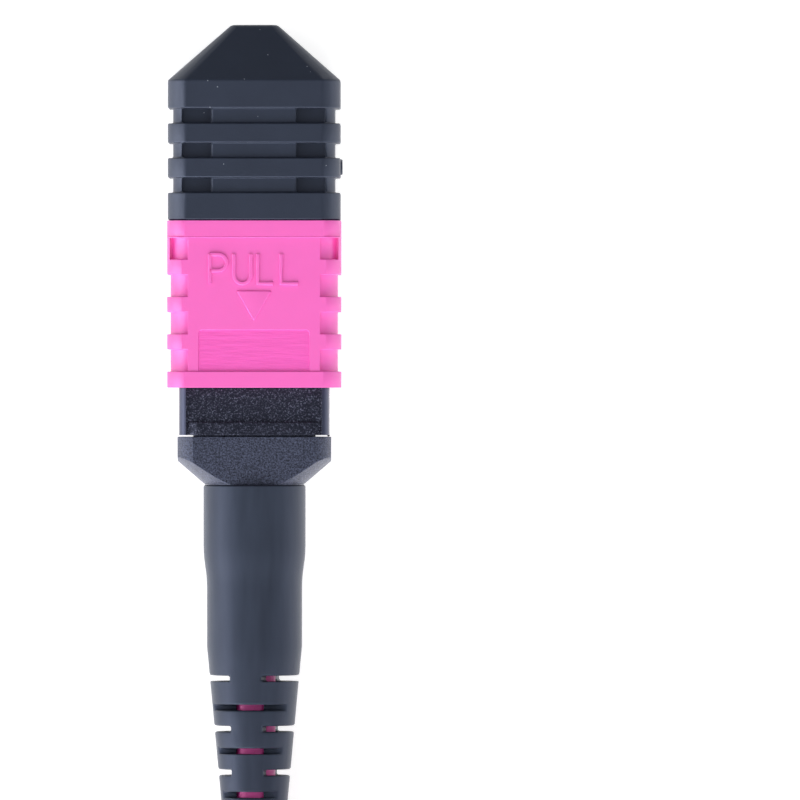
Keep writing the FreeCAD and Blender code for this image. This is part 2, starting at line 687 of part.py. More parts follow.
# --- dust cap --------------------------------------------------------------------------------------------------------------
def make_dust_cap():
    block = bar(CAP_W, CAP_H, CAP_CORNER, cap_rear, cap_shoulder, CORNER_CREASE)
    waist = bar(
        CAP_W - 2 * CAP_SIDE_DEPTH,
        CAP_H - 2 * CAP_FACE_DEPTH,
        CAP_CORNER - CAP_FACE_DEPTH,
        cap_rear,
        cap_shoulder,
        CORNER_CREASE,
    )
    pocket_x = CAP_PAD_W / 2
    pocket_floor = nose_cavity_h / 2 + CAP_SKIN
    cuts = []
    for k in range(CAP_NOTCHES):
        y = cap_rear + CAP_BASE_BAND + k * (CAP_NOTCH + CAP_RIB)
        cuts.append(box(-FAR, FAR, y, y + CAP_NOTCH, -FAR, FAR).cut(waist))
        pocket = box(pocket_x, pocket_x + CAP_POCKET_W, y, y + CAP_NOTCH, pocket_floor, FAR)
        cuts += four_ways(pocket)
    ends = [
        section(CAP_W, CAP_H, CAP_CORNER, cap_shoulder, CORNER_CREASE),
        section(CAP_TIP_W, CAP_TIP_H, CAP_TIP_CORNER, cap_tip),
    ]
    tip = Part.makeLoft(ends, True, True)
    tip = tip.makeFillet(CAP_TIP_EDGE, [e for e in tip.Edges if all(v.Y > cap_tip - 1e-6 for v in e.Vertexes)])

    key_top = NOSE_H / 2 + KEY_H + CAP_GAP
    key_w = KEY_W + 2 * CAP_GAP
    cavities = [
        bar(NOSE_W + 2 * CAP_GAP, nose_cavity_h, NOSE_CORNER, cap_rear, nose_front + 3 * CAP_GAP),
        box(-key_w / 2, key_w / 2, cap_rear, nose_front - KEY_BACK + 3 * CAP_GAP, 0, key_top),
        bar(PIN_ROOM_W, PIN_ROOM_H, NOSE_CORNER, cap_rear, pin_tip + PIN_ROOM_AHEAD),
    ]
    return block.cut(cuts).fuse(tip).cut(cavities).removeSplitter()


# --- free cord ---------------------------------------------------------------------------------------------------------------
turn_pitch = CABLE_D + TURN_GAP
coil_inner_r = COIL_TURN_R - COIL_COLUMNS * turn_pitch / 2
coil_outer_r = COIL_TURN_R + COIL_COLUMNS * turn_pitch / 2
first_turn_r = coil_outer_r - turn_pitch / 2
coil_bottom = TIE_T + TIE_GAP - rest_height
coil_height = COIL_LAYERS * turn_pitch
coil_bevel = CABLE_D * (1 - math.sqrt(0.5))  # flat across the corner turns' outsides
coil_centre = Vector(LEAD_ASIDE + first_turn_r, boot_end - COIL_BEHIND, 0)
first_turn_z = coil_bottom + turn_pitch / 2

# The lead's route, chosen by hand: straight out of the boot, then aside and down to the coil's lowest turn.
# Each row gives the share of the lead's length, and the share of its way aside and down.
LEAD_ROUTE = [(0, 0), (0.22, 0), (0.48, 0.36), (0.74, 0.9), (1, 1)]


def rounded_path(points, share=0.45):
    """Straight runs joined by tangent arcs, each as large as its two runs allow. Also gives the arcs' radii."""
    edges, radii = [], []
    start = points[0]
    for before, corner, after in zip(points, points[1:], points[2:]):
        into, out = corner - before, after - corner
        cut = share * min(into.Length, out.Length)
        turn = into.getAngle(out)
        into.normalize()
        out.normalize()
        arc_start, arc_end = corner - into * cut, corner + out * cut
        radius = cut / math.tan(turn / 2)
        inward = out - into
        inward.normalize()
        apex = corner + inward * (radius / math.cos(turn / 2) - radius)
        edges.append(Part.makeLine(start, arc_start))
        edges.append(Part.Arc(arc_start, apex, arc_end).toShape())
        radii.append(radius)
        start = arc_end
    edges.append(Part.makeLine(start, points[-1]))
    return Part.Wire(edges), radii


def make_cable_lead():
    exit_point = Vector(0, boot_end, 0)
    path, radii = rounded_path(
        [exit_point + Vector(LEAD_ASIDE * b, -LEAD_L * a, first_turn_z * b) for a, b in LEAD_ROUTE]
    )
    print("cable lead radii, mm:", [round(r, 1) for r in radii], "least allowed:", MIN_BEND_DIAMETERS * CABLE_D)
    ring = Part.Wire(Part.Circle(exit_point, AXIS, CABLE_D / 2).toShape())
    tube = path.makePipeShell([ring], True, False)
    expected = math.pi * CABLE_D**2 / 4 * path.Length
    print("cable lead volume over section times length:", round(tube.Volume / expected, 4))
    past_meeting = box(-FAR, FAR, coil_centre.y - FAR, coil_centre.y + LEAD_MEETS_COIL, -FAR, FAR)
    tube = tube.cut(past_meeting).cut(make_cable_coil())
    return max(tube.Solids, key=lambda s: s.BoundBox.YMax)


def coil_body(inner_r, outer_r, bottom, height, bevel, sweep=360.0, start=0.0):
    """A ring of bevelled rectangular section about the coil's own upright axis."""
    middle = (inner_r + outer_r) / 2
    flat = bevelled_section(outer_r - inner_r, height, bevel, 0)
    flat.translate(Vector(middle, 0, bottom + height / 2))
    ring = Part.Face(flat).revolve(CENTRE, Vector(0, 0, 1), sweep)
    ring.rotate(CENTRE, Vector(0, 0, 1), start)
    ring.translate(coil_centre)
    return ring


def make_cable_coil():
    return coil_body(coil_inner_r, coil_outer_r, coil_bottom, coil_height, coil_bevel)


def make_coil_ties():
    """Two soft straps round the coil, on opposite sides."""
    sweep = math.degrees(TIE_W / COIL_TURN_R)
    bevel_growth = 2 - math.sqrt(2)  # so that the strap is as thick across the bevels
    ties = []
    for angle in (-90, 90):
        sizes = []
        for grow in (TIE_GAP + TIE_T, TIE_GAP):
            sizes.append(
                coil_body(
                    coil_inner_r - grow,
                    coil_outer_r + grow,
                    coil_bottom - grow,
                    coil_height + 2 * grow,
                    coil_bevel + grow * bevel_growth,
                    sweep,
                    angle - sweep / 2,
                )
            )
        ties.append(sizes[0].cut(sizes[1]))
    return Part.makeCompound(ties)


# --- writing the pieces ---------------------------------------------------------------------------------------------------------
def place(shape):
    """Lays a piece in the object's frame: on the table, with the origin under the connector's middle."""
    placed = shape.copy()
    placed.translate(Vector(0, -(cap_tip + boot_end) / 2, rest_height))
    return placed


def main():
    spring = make_coupling_spring()
    pin = make_guide_pin()
    pieces = {
        "inner_housing": make_inner_housing(),
        "rear_body": make_rear_body(),
        "crimp_ring": make_crimp_ring(),
        "aramid_yarn": make_aramid_yarn(),
        "cable_jacket": make_cable_jacket(),
        "fibre_bundle": make_fibre_bundle(),
        "bend_relief_boot": make_boot(),
        "coupling_housing": make_coupling_housing(),
        "coupling_spring_right": spring,
        "coupling_spring_left": across(spring),
        "ferrule": make_ferrule(),
        "guide_pin_right": pin,
        "guide_pin_left": across(pin),
        "pin_clamp": make_pin_clamp(),
        "ferrule_boot": make_ferrule_boot(),
        "fibre_ribbon": make_fibre_ribbon(),
        "ferrule_spring": make_ferrule_spring(),
        "dust_cap": make_dust_cap(),
        "cable_lead": make_cable_lead(),
        "cable_coil": make_cable_coil(),
        "coil_ties": make_coil_ties(),
    }
    os.makedirs("parts", exist_ok=True)
    for name, shape in pieces.items():
        place(shape).exportStep(f"parts/{name}.step")
        print(name, "valid" if shape.isValid() else "NOT VALID", len(shape.Solids), round(shape.Volume, 3))


main()
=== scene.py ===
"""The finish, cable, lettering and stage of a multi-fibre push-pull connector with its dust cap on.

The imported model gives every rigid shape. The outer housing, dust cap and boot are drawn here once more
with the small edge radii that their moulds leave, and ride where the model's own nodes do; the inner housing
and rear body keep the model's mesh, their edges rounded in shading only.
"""

import json
import math

import bmesh
import bpy
from mathutils import Matrix, Vector


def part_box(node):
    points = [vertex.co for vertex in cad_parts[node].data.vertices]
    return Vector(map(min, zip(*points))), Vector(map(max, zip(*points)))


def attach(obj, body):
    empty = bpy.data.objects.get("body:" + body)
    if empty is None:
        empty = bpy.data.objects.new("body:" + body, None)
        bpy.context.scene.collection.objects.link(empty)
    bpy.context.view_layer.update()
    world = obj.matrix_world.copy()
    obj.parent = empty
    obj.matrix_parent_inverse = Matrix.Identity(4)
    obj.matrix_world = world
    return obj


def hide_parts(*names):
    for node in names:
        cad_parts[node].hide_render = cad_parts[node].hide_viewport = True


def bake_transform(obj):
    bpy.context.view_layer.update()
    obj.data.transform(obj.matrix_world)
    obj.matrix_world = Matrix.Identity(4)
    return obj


bl_info = {
    "name": "Push-pull fibre connector",
    "version": (1, 0, 0),
    "blender": (4, 5, 0),
    "location": "3D View > Sidebar > Connector",
    "description": "Finish, cable, lettering and stage of a multi-fibre push-pull connector",
    "category": "Object",
}

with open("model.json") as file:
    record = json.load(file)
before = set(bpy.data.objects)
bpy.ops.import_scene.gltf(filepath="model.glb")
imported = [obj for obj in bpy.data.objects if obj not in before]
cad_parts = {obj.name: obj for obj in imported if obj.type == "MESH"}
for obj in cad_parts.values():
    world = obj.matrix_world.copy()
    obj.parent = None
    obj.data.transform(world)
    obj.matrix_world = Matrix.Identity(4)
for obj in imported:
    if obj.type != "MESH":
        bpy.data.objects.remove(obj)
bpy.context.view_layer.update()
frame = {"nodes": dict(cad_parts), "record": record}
MM = 0.001

HOUSING_LOW, HOUSING_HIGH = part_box("coupling_housing")
BOOT_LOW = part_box("bend_relief_boot")[0]
CAP_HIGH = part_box("dust_cap")[1]
COIL_LOW, COIL_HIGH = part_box("cable_coil")
COIL_CENTRE = (COIL_LOW + COIL_HIGH) / 2
AXIS_Z = (HOUSING_LOW.z + HOUSING_HIGH.z) / 2


# --- what a user would change -----------------------------
def colour_setting(name, description, default):
    return bpy.props.StringProperty(name=name, description=description, default=default)


def number_setting(name, description, default, **kind):
    return bpy.props.FloatProperty(name=name, description=description, default=default, **kind)


def length_setting(name, description, default):
    return number_setting(name, description, default, min=0.0, unit="LENGTH", precision=6)


class ConnectorColours(bpy.types.PropertyGroup):
    """Colours of the materials, as sRGB hex values"""

    housing: colour_setting("Outer housing", "Dye of the coloured outer housing", "#FC65C6")
    cap: colour_setting("Dust cap", "Soft dust cap", "#2D3443")
    body: colour_setting("Inner housing", "Body under the outer housing", "#0E0F18")
    collar: colour_setting("Rear body", "Collar behind the body", "#343848")
    boot: colour_setting("Boot", "Slotted bend relief", "#333A47")
    jacket: colour_setting("Cable jacket", "Outside of the cable", "#EE4FAE")
    strap: colour_setting("Cable strap", "Straps round the coil", "#111114")


class ConnectorSizes(bpy.types.PropertyGroup):
    """Sizes of what is added to the model"""

    hard_edge: length_setting("Hard edge", "Edge radius of the hard mouldings", 0.07 * MM)
    soft_edge: length_setting("Soft edge", "Edge radius of the dust cap", 0.1 * MM)
    slot_lip: length_setting("Slot lip", "Edge radius of the boot and its slots", 0.14 * MM)
    letter_height: length_setting("Letter height", "Height of the raised word", 2.38 * MM)
    stroke: length_setting("Stroke", "Width of a letter's stroke", 0.3 * MM)
    relief: length_setting("Relief", "How far word and arrow stand out", 0.12 * MM)
    flash: length_setting("Parting line", "Thickness of the thin line where the mould parts", 0.1 * MM)
    cable: length_setting("Cable", "Outside diameter of the cable", 3.0 * MM)


class StageSettings(bpy.types.PropertyGroup):
    """Camera and light"""

    camera_distance: length_setting("Camera distance", "From the connector's axis to the camera", 1.0)
    view_width: length_setting("View width", "Width of the view at the connector's axis", 57.14 * MM)
    view_x: number_setting("View centre X", "Middle of the view, across", 10.39 * MM, unit="LENGTH")
    view_y: number_setting("View centre Y", "Middle of the view, along", 2.57 * MM, unit="LENGTH")
    low_surround: number_setting("Low surround", "Light from the sides", 0.6, subtype="FACTOR")
    high_surround: number_setting("High surround", "Light from above", 1.27, subtype="FACTOR")
    key: number_setting("Key lamp", "Power of the soft lamp on the left", 0.8, unit="POWER")
    fill: number_setting("Fill lamp", "Power of the weak lamp on the right", 0.1, unit="POWER")
    near: number_setting("Near lamp", "Power of the lamp behind the cable", 1.8, unit="POWER")


# --- materials --------------------------------------------
def linear(hex_colour, brighter=1.0):
    """An sRGB hex colour as linear red, green, blue and alpha."""
    channels = [int(hex_colour[i : i + 2], 16) / 255 for i in (1, 3, 5)]
    straight = [c / 12.92 if c <= 0.04045 else ((c + 0.055) / 1.055) ** 2.4 for c in channels]
    return [min(1.0, c * brighter) for c in straight] + [1.0]


def per_mm(size):
    """The scale at which a pattern repeats every size millimetres."""
    return 1 / (size * MM)


def new_material(name):
    """A material without a shader yet, its node tree, and the place on the piece that patterns follow."""
    material = bpy.data.materials.new(name)
    material.use_nodes = True
    tree = material.node_tree
    tree.nodes.remove(tree.nodes["Principled BSDF"])
    return material, tree, add_node(tree, "ShaderNodeTexCoord").outputs["Object"]


def add_node(tree, kind, inputs=None, **settings):
    """Adds a node with its settings. Each input gets a constant, or a link from a socket."""
    made = tree.nodes.new(kind)
    for name, value in settings.items():
        setattr(made, name, value)
    for name, value in (inputs or {}).items():
        if isinstance(value, bpy.types.NodeSocket):
            tree.links.new(value, made.inputs[name])
        else:
            made.inputs[name].default_value = value
    if kind in ("ShaderNodeBsdfPrincipled", "ShaderNodeAddShader"):
        tree.links.new(made.outputs[0], tree.nodes["Material Output"].inputs["Surface"])
    return made


def housing_plastic(colour, name="housing_pbt_moulded", streak_depth=0.0):
    # PBT, injection moulded in a fine spark-eroded tool: an even satin skin whose dye clouds a little.
    # The grain of such a tool is near 0.02 mm. It is drawn 0.12 mm coarse, so that it shows.
    material, tree, place = new_material(name)
    cloud = add_node(tree, "ShaderNodeTexNoise", {"Vector": place, "Scale": per_mm(2.5), "Detail": 2.0})
    grain = add_node(tree, "ShaderNodeTexNoise", {"Vector": place, "Scale": per_mm(0.12), "Detail": 2.0})
    satin = add_node(
        tree, "ShaderNodeMapRange", {"Value": grain.outputs["Fac"], "To Min": 0.4, "To Max": 0.52}
    )
    skin = add_node(tree, "ShaderNodeBump", {"Height": grain.outputs["Fac"], "Distance": 0.004 * MM})
    tint, deepest = cloud.outputs["Fac"], 0.94
    if streak_depth:  # shallow lines across, from the insert that forms this face
        across = add_node(tree, "ShaderNodeMapping", {"Vector": place, "Scale": (0.14, 1.0, 1.0)})
        lines = add_node(
            tree,
            "ShaderNodeTexNoise",
            {"Vector": across.outputs["Vector"], "Scale": per_mm(0.22), "Detail": 3.0},
        )
        skin = add_node(
            tree,
            "ShaderNodeBump",
            {"Height": lines.outputs["Fac"], "Distance": streak_depth, "Normal": skin.outputs["Normal"]},
        )
        tint, deepest = lines.outputs["Fac"], 0.88
    dye = add_node(
        tree, "ShaderNodeMix", {0: tint, 6: linear(colour), 7: linear(colour, deepest)}, data_type="RGBA"
    )
    add_node(
        tree,
        "ShaderNodeBsdfPrincipled",
        {
            "Base Color": dye.outputs[2],
            "Roughness": satin.outputs["Result"],
            "IOR": 1.53,
            "Specular IOR Level": 0.25 if streak_depth else 0.7,
            "Subsurface Weight": 0.1,
            "Subsurface Radius": (1.0, 0.3, 0.5),
            "Subsurface Scale": 0.4 * MM,
            "Normal": skin.outputs["Normal"],
        },
    )
    return material


SPECK_R = 0.045  # of a dust speck, as a share of the distance between the places for one
SPECKED = 0.8  # share of those places that have a speck


def cap_elastomer(colour):
    # Thermoplastic elastomer, moulded: a dull skin, cloudy over 3 mm, with a few specks of white dust.
    # The grain is 0.05 mm, drawn 0.15 mm coarse, so that it shows.
    material, tree, place = new_material("cap_elastomer_moulded")
    cloud = add_node(tree, "ShaderNodeTexNoise", {"Vector": place, "Scale": per_mm(3.0), "Detail": 3.0})
    skin_colour = add_node(
        tree,
        "ShaderNodeMix",
        {0: cloud.outputs["Fac"], 6: linear(colour, 1.12), 7: linear(colour, 0.85)},
        data_type="RGBA",
    )
    cells = add_node(tree, "ShaderNodeTexVoronoi", {"Vector": place, "Scale": per_mm(0.9)})
    near = add_node(
        tree, "ShaderNodeMath", {0: cells.outputs["Distance"], 1: SPECK_R}, operation="LESS_THAN"
    )
    drawn = add_node(tree, "ShaderNodeSeparateColor", {"Color": cells.outputs["Color"]})
    chosen = add_node(
        tree, "ShaderNodeMath", {0: drawn.outputs["Red"], 1: SPECKED}, operation="LESS_THAN"
    )
    dust = add_node(
        tree, "ShaderNodeMath", {0: near.outputs[0], 1: chosen.outputs[0]}, operation="MULTIPLY"
    )
    dusty = add_node(
        tree,
        "ShaderNodeMix",
        {0: dust.outputs[0], 6: skin_colour.outputs[2], 7: linear("#949BA8")},
        data_type="RGBA",
    )
    grain = add_node(tree, "ShaderNodeTexNoise", {"Vector": place, "Scale": per_mm(0.15), "Detail": 3.0})
    dull = add_node(
        tree, "ShaderNodeMapRange", {"Value": grain.outputs["Fac"], "To Min": 0.42, "To Max": 0.54}
    )
    skin = add_node(tree, "ShaderNodeBump", {"Height": grain.outputs["Fac"], "Distance": 0.006 * MM})
    add_node(
        tree,
        "ShaderNodeBsdfPrincipled",
        {
            "Base Color": dusty.outputs[2],
            "Roughness": dull.outputs["Result"],
            "IOR": 1.48,
            "Specular Tint": linear("#DCE4FF"),
            "Normal": skin.outputs["Normal"],
        },
    )
    return material


BODY_FLAT_HALF_W = 4.85 * MM  # of the body's broad faces, between their corners


def body_plastic(colour, edge):
    # PBT with glass filler, near black. Its broad faces are moulded in a coarse spark-eroded tool; the small
    # bright glints on them are painted into the base colour. The corners beside them are polished, and are
    # painted a lighter blue-grey that stands in for their sheen.
    # The grain is 0.05 mm, drawn 0.11 mm coarse, so that it shows.
    material, tree, place = new_material("body_pbt_glass_filled")
    grain = add_node(
        tree,
        "ShaderNodeTexNoise",
        {"Vector": place, "Scale": per_mm(0.11), "Detail": 3.0, "Roughness": 0.75},
    )
    patches = add_node(tree, "ShaderNodeTexNoise", {"Vector": place, "Scale": per_mm(1.2), "Detail": 2.0})
    # Painted glints: where the grain peaks, in random patches, the base colour turns pale blue-grey.
    pale_spots = add_node(
        tree, "ShaderNodeMapRange", {"Value": grain.outputs["Fac"], "From Min": 0.52, "From Max": 0.74}
    )
    shown = add_node(
        tree,
        "ShaderNodeMath",
        {0: pale_spots.outputs["Result"], 1: patches.outputs["Fac"]},
        operation="MULTIPLY",
    )
    painted_glints = add_node(
        tree,
        "ShaderNodeMix",
        {0: shown.outputs[0], 6: linear(colour), 7: linear("#A3A9C6")},
        data_type="RGBA",
    )
    across = add_node(tree, "ShaderNodeSeparateXYZ", {"Vector": place})
    aside = add_node(tree, "ShaderNodeMath", {0: across.outputs["X"]}, operation="ABSOLUTE")
    eroded = add_node(
        tree, "ShaderNodeMath", {0: aside.outputs[0], 1: BODY_FLAT_HALF_W}, operation="LESS_THAN"
    )
    # Painted sheen: the polished corners get a flat colour lighter than the plastic's own.
    tone = add_node(
        tree,
        "ShaderNodeMix",
        {0: eroded.outputs[0], 6: linear("#2F3344"), 7: painted_glints.outputs[2]},
        data_type="RGBA",
    )
    height = add_node(
        tree, "ShaderNodeMath", {0: grain.outputs["Fac"], 1: eroded.outputs[0]}, operation="MULTIPLY"
    )
    radius = add_node(tree, "ShaderNodeBevel", {"Radius": edge}, samples=6)
    skin = add_node(
        tree,
        "ShaderNodeBump",
        {"Height": height.outputs[0], "Distance": 0.035 * MM, "Normal": radius.outputs["Normal"]},
    )
    add_node(
        tree,
        "ShaderNodeBsdfPrincipled",
        {
            "Base Color": tone.outputs[2],
            "Roughness": 0.38,
            "IOR": 1.55,
            "Specular Tint": linear("#CDD6FF"),
            "Normal": skin.outputs["Normal"],
        },
    )
    return material


def collar_plastic(colour, edge):
    # Polyetherimide, moulded in a spark-eroded tool: dark blue-grey with an even grain. Its lighter grains
    # are partly the grain's own tone and partly painted glints.
    # The grain is 0.03 mm, drawn 0.12 mm coarse, so that it shows.
    material, tree, place = new_material("collar_pei_spark_grain")
    grain = add_node(
        tree,
        "ShaderNodeTexNoise",
        {"Vector": place, "Scale": per_mm(0.12), "Detail": 3.0, "Roughness": 0.7},
    )
    # Grain tone and painted glints: the base colour swings from a fifth to two and a half times the colour.
    grain_and_painted_glints = add_node(
        tree, "ShaderNodeMapRange", {"Value": grain.outputs["Fac"], "From Min": 0.38, "From Max": 0.68}
    )
    tone = add_node(
        tree,
        "ShaderNodeMix",
        {0: grain_and_painted_glints.outputs["Result"], 6: linear(colour, 0.2), 7: linear(colour, 2.5)},
        data_type="RGBA",
    )
    radius = add_node(tree, "ShaderNodeBevel", {"Radius": edge}, samples=6)
    skin = add_node(
        tree,
        "ShaderNodeBump",
        {"Height": grain.outputs["Fac"], "Distance": 0.05 * MM, "Normal": radius.outputs["Normal"]},
    )
    add_node(
        tree,
        "ShaderNodeBsdfPrincipled",
        {
            "Base Color": tone.outputs[2],
            "Roughness": 0.45,
            "IOR": 1.6,
            "Specular IOR Level": 0.4,
            "Specular Tint": linear("#D8E0FF"),
            "Normal": skin.outputs["Normal"],
        },
    )
    return material


def boot_elastomer(colour):
    # Thermoplastic elastomer from a smooth tool: a low sheen, with faint flow streaks along the boot,
    # near 1 mm apart. The grain is 0.02 mm, drawn 0.12 mm coarse, so that it shows.
    material, tree, place = new_material("boot_elastomer_smooth")
    lengthwise = add_node(tree, "ShaderNodeMapping", {"Vector": place, "Scale": (1.0, 0.12, 1.0)})
    flow = add_node(
        tree,
        "ShaderNodeTexNoise",
        {"Vector": lengthwise.outputs["Vector"], "Scale": per_mm(0.9), "Detail": 2.0},
    )
    tone = add_node(
        tree,
        "ShaderNodeMix",
        {0: flow.outputs["Fac"], 6: linear(colour, 1.3), 7: linear(colour, 0.7)},
        data_type="RGBA",
    )
    grain = add_node(tree, "ShaderNodeTexNoise", {"Vector": place, "Scale": per_mm(0.12), "Detail": 2.0})
    sheen = add_node(
        tree, "ShaderNodeMapRange", {"Value": grain.outputs["Fac"], "To Min": 0.42, "To Max": 0.54}
    )
    skin = add_node(tree, "ShaderNodeBump", {"Height": grain.outputs["Fac"], "Distance": 0.003 * MM})
    add_node(
        tree,
        "ShaderNodeBsdfPrincipled",
        {
            "Base Color": tone.outputs[2],
            "Roughness": sheen.outputs["Result"],
            "IOR": 1.5,
            "Specular IOR Level": 0.27,
            "Specular Tint": linear("#CFD6FF"),
            "Normal": skin.outputs["Normal"],
        },
    )
    return material


def jacket_plastic(colour):
    # Low-smoke polyolefin, extruded: a satin skin with the soft ripple that the die leaves, near 2 mm long.
    material, tree, place = new_material("jacket_polyolefin_extruded")
    ripple = add_node(tree, "ShaderNodeTexNoise", {"Vector": place, "Scale": per_mm(2.2), "Detail": 3.0})
    dye = add_node(
        tree,
        "ShaderNodeMix",
        {0: ripple.outputs["Fac"], 6: linear(colour), 7: linear(colour, 0.88)},
        data_type="RGBA",
    )
    satin = add_node(
        tree, "ShaderNodeMapRange", {"Value": ripple.outputs["Fac"], "To Min": 0.4, "To Max": 0.55}
    )
    skin = add_node(tree, "ShaderNodeBump", {"Height": ripple.outputs["Fac"], "Distance": 0.03 * MM})
    add_node(
        tree,
        "ShaderNodeBsdfPrincipled",
        {
            "Base Color": dye.outputs[2],
            "Roughness": satin.outputs["Result"],
            "IOR": 1.5,
            "Normal": skin.outputs["Normal"],
        },
    )
    return material


def strap_fabric(colour):
    # Polyamide hook-and-loop strap, woven: threads 0.4 mm apart under a short nap that catches the light.
    material, tree, place = new_material("strap_polyamide_woven")
    threads = add_node(tree, "ShaderNodeTexChecker", {"Vector": place, "Scale": per_mm(0.4)})
    nap = add_node(
        tree, "ShaderNodeTexNoise", {"Vector": place, "Scale": per_mm(0.2), "Detail": 5.0, "Roughness": 0.8}
    )
    tone = add_node(
        tree,
        "ShaderNodeMix",
        {0: nap.outputs["Fac"], 6: linear(colour), 7: linear(colour, 2.6)},
        data_type="RGBA",
    )
    height = add_node(
        tree, "ShaderNodeMath", {0: threads.outputs["Fac"], 1: nap.outputs["Fac"]}, operation="ADD"
    )
    weave = add_node(tree, "ShaderNodeBump", {"Height": height.outputs[0], "Distance": 0.05 * MM})
    add_node(
        tree,
        "ShaderNodeBsdfPrincipled",
        {
            "Base Color": tone.outputs[2],
            "Roughness": 0.85,
            "IOR": 1.53,
            "Sheen Weight": 0.3,
            "Sheen Roughness": 0.5,
            "Normal": weave.outputs["Normal"],
        },
    )
    return material


def ferrule_polymer():
    # Polyphenylene sulphide with glass, moulded, its front polished: near black, with pale glass grains.
    # They are drawn 0.1 mm apart, so that they show.
    material, tree, place = new_material("ferrule_pps_polished")
    cells = add_node(tree, "ShaderNodeTexVoronoi", {"Vector": place, "Scale": per_mm(0.1)})
    pale_spots = add_node(tree, "ShaderNodeMath", {0: cells.outputs["Distance"], 1: 0.25}, operation="LESS_THAN")
    tone = add_node(
        tree,
        "ShaderNodeMix",
        {0: pale_spots.outputs[0], 6: linear("#17181A"), 7: linear("#3E4044")},
        data_type="RGBA",
    )
    shine = add_node(
        tree, "ShaderNodeMapRange", {"Value": pale_spots.outputs[0], "To Min": 0.38, "To Max": 0.2}
    )
    add_node(
        tree,
        "ShaderNodeBsdfPrincipled",
        {"Base Color": tone.outputs[2], "Roughness": shine.outputs["Result"], "IOR": 1.65},
    )
    return material


# How the pattern of marks on steel is squeezed, across, along and up.
MARKS_ALONG = (1.0, 0.1, 1.0)
MARKS_EVEN = (1.0, 1.0, 1.0)


def steel(name, colour, roughness, mark_scale):
    # Stainless steel. Grinding and drawing leave fine marks, stretched as mark_scale says.
    # They are drawn 0.1 mm apart, so that they show.
    material, tree, place = new_material(name)
    stretched = add_node(tree, "ShaderNodeMapping", {"Vector": place, "Scale": mark_scale})
    marks = add_node(
        tree, "ShaderNodeTexNoise", {"Vector": stretched.outputs["Vector"], "Scale": per_mm(0.1)}
    )
    worn = add_node(
        tree,
        "ShaderNodeMapRange",
        {"Value": marks.outputs["Fac"], "To Min": roughness * 0.7, "To Max": roughness * 1.3},
    )
    skin = add_node(tree, "ShaderNodeBump", {"Height": marks.outputs["Fac"], "Distance": 0.002 * MM})
    add_node(
        tree,
        "ShaderNodeBsdfPrincipled",
        {
            "Base Color": linear(colour),
            "Metallic": 1.0,
            "Roughness": worn.outputs["Result"],
            "Normal": skin.outputs["Normal"],
        },
    )
    return material


def coated_fibre():
    # Glass fibres with acrylate coats 0.25 mm apart: pale and glossy. Each fibre is a stripe of painted
    # shade, lighter down its middle and darker where it meets the next.
    material, tree, place = new_material("fibre_acrylate_coated")
    across = add_node(tree, "ShaderNodeSeparateXYZ", {"Vector": place})
    turns = add_node(
        tree, "ShaderNodeMath", {0: across.outputs["X"], 1: math.tau * per_mm(0.25)}, operation="MULTIPLY"
    )
    # Painted shade: lighter down each fibre's middle, darker between fibres.
    painted_fibre_shade = add_node(tree, "ShaderNodeMath", {0: turns.outputs[0]}, operation="SINE")
    share = add_node(tree, "ShaderNodeMapRange", {"Value": painted_fibre_shade.outputs[0], "From Min": -1.0})
    tone = add_node(
        tree,
        "ShaderNodeMix",
        {0: share.outputs["Result"], 6: linear("#6F9FA9"), 7: linear("#C3E2E6")},
        data_type="RGBA",
    )
    add_node(
        tree, "ShaderNodeBsdfPrincipled", {"Base Color": tone.outputs[2], "Roughness": 0.2, "IOR": 1.49}
    )
    return material


def aramid_yarn():
    # Aramid yarn, laid loose: golden threads along the cable, drawn 0.1 mm coarse, so that they show.
    material, tree, place = new_material("yarn_aramid_loose")
    along = add_node(tree, "ShaderNodeMapping", {"Vector": place, "Scale": (1.0, 0.06, 1.0)})
    threads = add_node(
        tree, "ShaderNodeTexNoise", {"Vector": along.outputs["Vector"], "Scale": per_mm(0.1), "Detail": 3.0}
    )
    tone = add_node(
        tree,
        "ShaderNodeMix",
        {0: threads.outputs["Fac"], 6: linear("#B98A2B"), 7: linear("#EBCB6B")},
        data_type="RGBA",
    )
    skin = add_node(tree, "ShaderNodeBump", {"Height": threads.outputs["Fac"], "Distance": 0.03 * MM})
    add_node(
        tree,
        "ShaderNodeBsdfPrincipled",
        {"Base Color": tone.outputs[2], "Roughness": 0.55, "IOR": 1.6, "Normal": skin.outputs["Normal"]},
    )
    return material


def sleeve_rubber():
    # Silicone rubber, moulded: black and dull. Its grain is drawn 0.15 mm coarse, so that it shows.
    material, tree, place = new_material("sleeve_silicone_moulded")
    grain = add_node(tree, "ShaderNodeTexNoise", {"Vector": place, "Scale": per_mm(0.15), "Detail": 3.0})
    tone = add_node(
        tree,
        "ShaderNodeMix",
        {0: grain.outputs["Fac"], 6: linear("#121214"), 7: linear("#232326")},
        data_type="RGBA",
    )
    skin = add_node(tree, "ShaderNodeBump", {"Height": grain.outputs["Fac"], "Distance": 0.01 * MM})
    add_node(
        tree,
        "ShaderNodeBsdfPrincipled",
        {"Base Color": tone.outputs[2], "Roughness": 0.7, "IOR": 1.41, "Normal": skin.outputs["Normal"]},
    )
    return material


# --- shapes -----------------------------------------------
def body_of(node):
    bodies = frame["record"]["behaviour"]["bodies"]
    return next(body for body, nodes in bodies.items() if node in nodes)


def add_piece(name, data, node, material):
    """A new object with a material. It moves with a node of the model."""
    piece = bpy.data.objects.new(name, data)
    bpy.context.scene.collection.objects.link(piece)
    data.materials.append(material)
    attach(piece, body_of(node))
    return piece


def finish_nodes(material, *nodes):
    """Gives nodes of the model their material, where they are."""
    for node in nodes:
        slots = frame["nodes"][node].data.materials
        slots.clear()
        slots.append(material)


